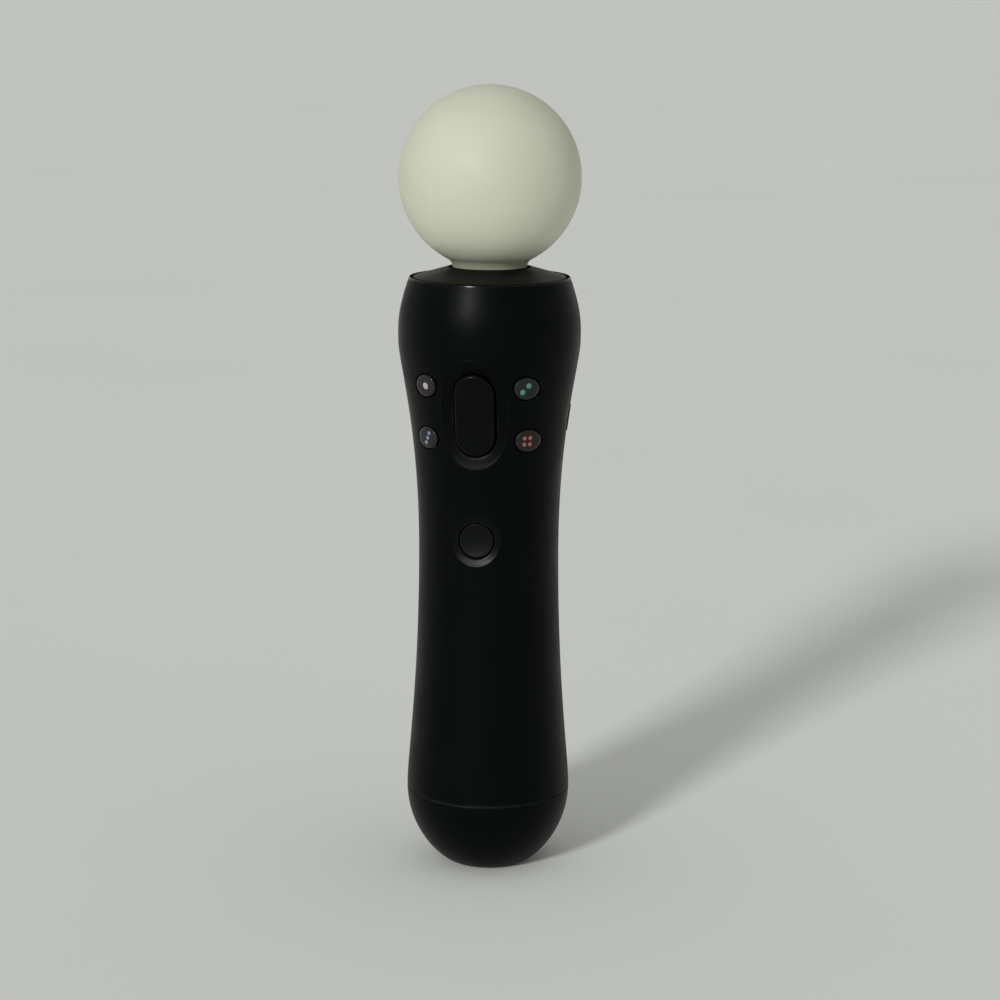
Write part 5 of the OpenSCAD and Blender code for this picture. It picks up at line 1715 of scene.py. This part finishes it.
@dataclass
class Controls:
    """Every pressed button, with the pips on the four round ones."""

    casing: FrontCasing
    proud: float = 0.5
    center: Flat = (10.2, 21.0)
    center_fillet: float = 1.1
    face_d: float = 5.6
    face_back: float = 12.0
    face_fillet: float = 0.7
    home_d: float = 8.6
    home_fillet: float = 0.25
    home_proud: float = 0.1
    side: Flat = (3.4, 7.0)
    side_back: float = 15.5
    side_fillet: float = 0.4
    side_proud: float = 0.2
    side_y: float = RearCasing.side_y
    side_z: float = RearCasing.side_z
    tint: Flat = (0.8, 0.06)
    pip_gap: float = 1.55
    pip_slant: Flat = (0.9, 1.6)
    pip_rise: float = 0.03
    pip_edge: tuple[Flat, ...] = ((0.0, -0.3), (0.0, -0.03), (0.04, 0.0))
    pip_steps: int = 32
    pip_rough: float = 0.4
    pip_fade: float = 0.9
    slope_half: float = 0.5
    marks: tuple[FaceMark, ...] = (
        FaceMark("upper_left_button", -1, 1, 1, 0.85, (196, 176, 178)),
        FaceMark("upper_right_button", 1, 1, 2, 0.7, (74, 150, 132)),
        FaceMark("lower_left_button", -1, -1, 3, 0.5, (138, 146, 168)),
        FaceMark("lower_right_button", 1, -1, 4, 0.5, (176, 96, 98)))

    def over_body(self, a: float, z: float) -> float:
        """Face of a cap that follows the casing."""
        return BODY.out(a, z, self.proud)

    def on_side(self, a: float, z: float) -> float:
        """Face of a side cap, which is nearly flush."""
        return BODY.out(a, z, self.side_proud)

    def in_dish(self, a: float, z: float) -> float:
        """Face of the home cap, which carries on the dish."""
        return self.home_proud - self.casing.bowl(a, z)

    def tinted(self, tone: Rgb, mark: Rgb) -> Rgb:
        """Tone of a smoky cap with a little of its pips' colour."""
        return tuple(round(self.tint[0] * t + self.tint[1] * m) for t, m in zip(tone, mark))

    def pip_spots(self, mark: FaceMark, x: float, z: float) -> list[tuple[Point, Point]]:
        """Lays out a cap's pips on its face.

        Args:
            mark: The pips.
            x: Cap's middle across.
            z: Cap's middle height.

        Returns:
            Each pip's place and direction.
        """
        half = self.pip_gap / 2
        slant_x, slant_z = (share * half for share in self.pip_slant)
        layouts = {1: [(0, 0)], 2: [(-half, -half), (half, half)],
                   3: [(-slant_x, -slant_z), (0, 0), (slant_x, slant_z)],
                   4: [(sx * half, sz * half) for sx in (-1, 1) for sz in (-1, 1)]}
        face_r = BODY.radius(z) + self.proud
        spots = []
        for du, dz in layouts[mark.count]:
            turn = math.asin(x / face_r) + du / face_r
            out = BODY.radius(z + dz) + self.proud + self.pip_rise
            flare = BODY.radius(z + dz + self.slope_half) - BODY.radius(z + dz - self.slope_half)
            side = (math.sin(turn), -math.cos(turn))
            spots.append(((out * side[0], out * side[1], z + dz), (*side, -flare / (2 * self.slope_half))))
        return spots

    def round_button(self, shop: Workshop, trees: NodeTrees, mark: FaceMark) -> None:
        """Makes one round button and sets its pips.

        Args:
            shop: Makes the pieces.
            trees: Holds the node trees.
            mark: The button's pips.
        """
        x, z = mark.side * self.casing.face_x, self.casing.controls_z + mark.level * self.casing.face_z
        smoke = replace(SMOKE, name=f"{mark.body}_smoke", tone=self.tinted(SMOKE.tone, mark.colour),
                        other=self.tinted(SMOKE.other, mark.colour))
        Cap(f"{mark.body}_cap", Stadium(x, z, self.face_d, self.face_d, arc=32), Facing.FRONT, self.over_body,
            self.face_back, self.face_fillet, smoke).dress(shop, mark.body)
        pip = Draft()
        pip.rod([circle(mark.r - inset, h, self.pip_steps) for inset, h in self.pip_edge])
        faded = tuple(int(c * self.pip_fade) for c in mark.colour)
        finish = Finish(f"{mark.body}_pip", mark.colour, faded, self.pip_rough, worn_and_highlight=mark.colour)
        mesh = trees.repeat(f"{mark.body}_pips", self.pip_spots(mark, x, z), pip.mesh("pip"),
                            finish.material(shop.effects))
        shop.place(f"{mark.body}_pips", mesh, None, mark.body, "button_cap")

    def dress(self, shop: Workshop, trees: NodeTrees) -> None:
        """Makes every button.

        Args:
            shop: Makes the pieces.
            trees: Holds the node trees.
        """
        Cap("thumb_pad", Stadium(0.0, self.casing.controls_z, *self.center), Facing.FRONT, self.over_body,
            -self.casing.guide_y, self.center_fillet, GLOSS_BLACK).dress(shop, "center_button")
        for mark in self.marks:
            self.round_button(shop, trees, mark)
        Cap("home_cap", Stadium(0.0, self.casing.home_z, self.home_d, self.home_d, arc=40), Facing.FRONT,
            self.in_dish, -self.casing.home_guide_y, self.home_fillet, HOME_BLACK).dress(shop, "home_button")
        for facing, body in ((Facing.LEFT, "left_side_button"), (Facing.RIGHT, "right_side_button")):
            Cap(f"{body}_cap", Stadium(self.side_y, self.side_z, *self.side, arc=16, side=8), facing,
                self.on_side, self.side_back, self.side_fillet, GLOSS_BLACK).dress(shop, body)


@dataclass
class Trigger:
    """Hooked trigger with a crowned finger face."""

    pivot_y: float = RearCasing.pivot_y
    pivot_z: float = RearCasing.pivot_z
    barrel_r: float = 5.2
    half: float = 7.8
    tip_y: float = 22.6
    tip_z: float = 100.5
    tip_round: float = 1.2
    pull_high: float = 8.5
    pull_low: float = 7.0
    lean: float = 3.0
    thick: float = 3.0
    fillet: float = 0.9
    tip_steps: int = 8
    finger_steps: int = 60
    barrel_steps: int = 16
    barrel_end: int = 14
    across_steps: int = 20
    up_steps: int = 44
    edge_steps: int = 6
    step: float = 0.8
    back_step: float = 2.0

    def side_curve(self) -> list[Flat]:
        """Draws the finger face from the tip to the top of the barrel.

        Returns:
            Its points as (radius, height).
        """
        face_r, bend_z = self.pivot_y + self.barrel_r, self.tip_z + self.tip_round
        tip = arc((self.tip_y - self.tip_round, bend_z), self.tip_round, -QUARTER_TURN, 0.0, self.tip_steps)
        finger = bezier((self.tip_y, bend_z), (self.tip_y - self.lean, self.tip_z + self.pull_low),
                        (face_r, self.pivot_z - self.pull_high), (face_r, self.pivot_z), self.finger_steps)
        barrel = arc((self.pivot_y, self.pivot_z), self.barrel_r, 0.0, QUARTER_TURN, self.barrel_steps)
        return tip[:-1] + finger + barrel[1:self.barrel_end]

    def dress(self, shop: Workshop) -> None:
        """Makes the trigger.

        Args:
            shop: Makes the pieces.
        """
        curve = self.side_curve()
        marks = arc_lengths(curve)
        radii, heights = [r for r, _ in curve], [z for _, z in curve]

        def lift(x: float, s: float) -> Point:
            """Point of the finger face."""
            r = lookup(marks, radii, s)
            return (x, math.sqrt(r * r - x * x), lookup(marks, heights, s))

        def under(x: float, s: float) -> Point:
            """Point of the back, a thickness below the face."""
            x, y, z = lift(x, s)
            return (x, y - self.thick, z)

        def edge(inset: float) -> list[Flat]:
            """Outline of the face, inset at its sides."""
            half = self.half - inset
            return border((-half, 0.0), (half, marks[-1]), self.across_steps, self.up_steps)

        draft = Draft()
        face = draft.sheet([edge(self.fillet)], self.step, lift)[0]
        back = draft.sheet([edge(0.0)], self.back_step, under)[0]
        rings = [[(x, y - self.fillet * sunk, z) for x, y, z in (lift(*p) for p in edge(self.fillet * grown))]
                 for grown, sunk in quarter(self.edge_steps)[1:]]
        draft.strip(face, rings, back)
        shop.place("finger_trigger", draft.mesh("finger_trigger"), TRIGGER_BLACK, "trigger",
                   "trigger_plastic", ["trigger"])


@dataclass
class CaseScrews:
    """Cross-head screws at the bottom of the casing's wells."""

    spots: tuple[Flat, ...] = RearCasing.wells
    seat_y: float = RearCasing.seat_y
    head_r: float = 2.0
    head_h: float = 1.1
    head_side: float = 0.55
    head_inset: float = 0.15
    head_crown: float = 0.35
    shank_r: float = 1.1
    shank: float = 11.5
    point: float = 1.0
    point_share: float = 0.4
    arms: int = 4
    slot_r: float = 1.15
    slot_half: float = 0.22
    slot_depth: float = 0.7
    slot_taper: float = 0.8
    step: float = 0.35
    round_steps: int = 40

    def screw(self) -> Draft:
        """Draws one screw along +Z: shank, domed head and cross recess.

        Returns:
            The screw.
        """
        draft = Draft()
        far, half = self.slot_r, self.slot_half
        slot = [(a * math.cos(t) - b * math.sin(t), a * math.sin(t) + b * math.cos(t))
                for t in spread(0.0, FULL_TURN, self.arms)[:-1]
                for a, b in ((far, -half), (far, half), (half, half))]

        def dome(x: float, y: float) -> Point:
            """Point of the head's top."""
            return (x, y, self.head_h - self.head_crown * (x * x + y * y) / self.head_r ** 2)

        rim = [(x, y) for x, y, _ in circle(self.head_r - self.head_inset, 0.0, self.round_steps)]
        top = draft.sheet([rim, slot], self.step, dome)
        draft.strip(top[1], [[(x * self.slot_taper, y * self.slot_taper, self.head_h - self.slot_depth)
                              for x, y in slot]])
        sides = ((self.head_r, self.head_side), (self.head_r, 0.0), (self.shank_r, 0.0),
                 (self.shank_r, self.point - self.shank), (self.shank_r * self.point_share, -self.shank))
        draft.strip(top[0], [circle(r, z, self.round_steps) for r, z in sides])
        return draft

    def dress(self, shop: Workshop, trees: NodeTrees) -> None:
        """Sets the four screws.

        Args:
            shop: Makes the pieces.
            trees: Holds the node trees.
        """
        spots = [((x, self.seat_y, z), (0.0, 1.0, 0.0)) for x, z in self.spots]
        mesh = trees.repeat("well_screws", spots, self.screw().mesh("screw", SMALL_CREASE),
                            STEEL.material(shop.effects))
        shop.place("well_screws", mesh, None, "casing", "steel", ["case_screws"])


@dataclass
class Insides:
    """Finishes of the frame's own nodes that keep their shape."""

    finishes: dict[Finish, tuple[str, ...]] = field(default_factory=lambda: {
        MILK_PLASTIC: ("globe_seat",),
        CLEAR_GUIDE: ("light_guide", "color_led"),
        BOARD: ("light_board", "main_board", "port_board"),
        DARK_BOARD: ("rear_board",),
        RIBBON: ("light_ribbon", "port_ribbon"),
        STEEL: ("seat_screws", "light_board_screws", "board_screws", "rear_board_screws", "port_board_screws",
                "trigger_spring", "motor_can", "motor_shaft", "usb_socket"),
        BLACKED_STEEL: ("trigger_pin",),
        BRASS: ("eccentric_weight", "charge_contacts"),
        RUBBER: ("button_membrane", "trigger_dome"),
        CHIP: ("side_switches", "processor_chip", "radio_module", "motion_sensors", "board_connectors",
               "reset_switch", "extension_socket"),
        FRAME_GREY: ("inner_frame",),
        CELL_WRAP: ("battery_cell",),
        LEAD: ("battery_leads",),
        TRIGGER_BLACK: ("reset_plunger",),
    })

    def dress(self, shop: Workshop) -> None:
        """Dresses every node."""
        for finish, nodes in self.finishes.items():
            shop.dress(finish, *nodes)


@dataclass
class Studio:
    """Floor, light and camera at the photograph's viewing angle."""

    focal: float = 89.96
    sensor: float = 36.0
    clip: Flat = (0.01, 1000.0)
    distance: float = 638.0
    azimuth: float = math.radians(10.5)
    elevation: float = math.radians(11.38)
    target_z: float = 95.1
    aside: float = 2.83
    roll: float = math.radians(0.26)
    key: float = 1.65
    key_size: float = math.radians(9.0)
    key_heading: Point = (74.6, 130.5, -67.6)
    fill: float = 0.4
    fill_tone: tuple[float, float, float, float] = (1.0, 1.0, 0.99, 1.0)
    floor_tone: Rgb = (240, 243, 237)
    floor_drift: int = 3
    floor_size: float = 400.0
    floor_drop: float = 0.05
    sky_tone: Rgb = (193, 197, 192)

    def axes(self) -> tuple[Vector, Vector]:
        """Right and away directions of the view, level with the floor."""
        return (Vector((math.cos(self.azimuth), math.sin(self.azimuth), 0.0)),
                Vector((-math.sin(self.azimuth), math.cos(self.azimuth), 0.0)))

    def camera(self) -> None:
        """Makes the camera."""
        right, away = self.axes()
        ahead = away * math.cos(self.elevation) - Vector((0, 0, 1)) * math.sin(self.elevation)
        target = Vector((0.0, 0.0, self.target_z)) + right * self.aside
        data = bpy.data.cameras.new("view")
        data.lens = self.focal
        data.sensor_width = self.sensor
        data.clip_start, data.clip_end = self.clip
        camera = bpy.data.objects.new("view", data)
        turned = ahead.to_track_quat("-Z", "Y").to_matrix().to_4x4() @ Matrix.Rotation(self.roll, 4, "Z")
        camera.matrix_world = Matrix.Translation((target - ahead * self.distance) * MM) @ turned
        bpy.context.scene.collection.objects.link(camera)
        bpy.context.scene.camera = camera

    def light(self) -> None:
        """Makes the soft key and the even fill, with a pale sky where it is seen or mirrored."""
        right, away = self.axes()
        across, ahead, up = self.key_heading
        heading = right * across + away * ahead + Vector((0, 0, up))
        data = bpy.data.lights.new("key", "SUN")
        data.energy = self.key
        data.angle = self.key_size
        lamp = bpy.data.objects.new("key", data)
        lamp.matrix_world = heading.to_track_quat("-Z", "Y").to_matrix().to_4x4()
        bpy.context.scene.collection.objects.link(lamp)
        world = bpy.data.worlds.new("fill")
        world.use_nodes = True
        tree = world.node_tree
        even = tree.nodes["Background"]
        feed(tree, even, {"Color": self.fill_tone, "Strength": self.fill})
        seen = add_node(tree, "ShaderNodeBackground", {"Color": linear(self.sky_tone)})
        rays = add_node(tree, "ShaderNodeLightPath").outputs
        share = rays["Is Camera Ray"]
        for kind in ("Is Glossy Ray", "Is Transmission Ray"):
            either = add_node(tree, "ShaderNodeMath", {0: share, 1: rays[kind]}, operation="MAXIMUM")
            share = either.outputs["Value"]
        pick = add_node(tree, "ShaderNodeMixShader", {0: share, 1: even.outputs[0], 2: seen.outputs[0]})
        feed(tree, tree.nodes["World Output"], {"Surface": pick.outputs[0]})
        bpy.context.scene.world = world

    def floor(self, effects: Effects) -> None:
        """Makes the pale floor.

        Args:
            effects: The shared node groups.
        """
        mesh = bpy.data.meshes.new("floor")
        s, low = self.floor_size, -self.floor_drop * MM
        mesh.from_pydata([(-s, -s, low), (s, -s, low), (s, s, low), (-s, s, low)], [], [(0, 1, 2, 3)])
        other = tuple(c - self.floor_drift for c in self.floor_tone)
        finish = Finish("pale_floor", self.floor_tone, other, 0.9, patches=3.0, bump=0.0, specular=0.1)
        mesh.materials.append(finish.material(effects))
        floor = bpy.data.objects.new("floor", mesh)
        bpy.context.scene.collection.objects.link(floor)

    def set_up(self, effects: Effects) -> None:
        """Makes floor, light and camera.

        Args:
            effects: The shared node groups.
        """
        bpy.context.scene.view_settings.view_transform = "Standard"
        self.camera()
        self.light()
        self.floor(effects)


def main() -> None:
    """Builds the wand's pieces in order."""
    logging.basicConfig(level=logging.INFO, format="%(name)s: %(message)s")
    shop = Workshop()
    trees = NodeTrees()
    Studio().set_up(shop.effects)
    front = FrontCasing()
    front.dress(shop)
    RearCasing().dress(shop)
    EndCap().dress(shop)
    SocketPins().dress(shop, trees)
    LightHead().dress(shop, trees)
    Controls(front).dress(shop, trees)
    Trigger().dress(shop)
    CaseScrews().dress(shop, trees)
    Insides().dress(shop)


if __name__ == "__main__":
    main()
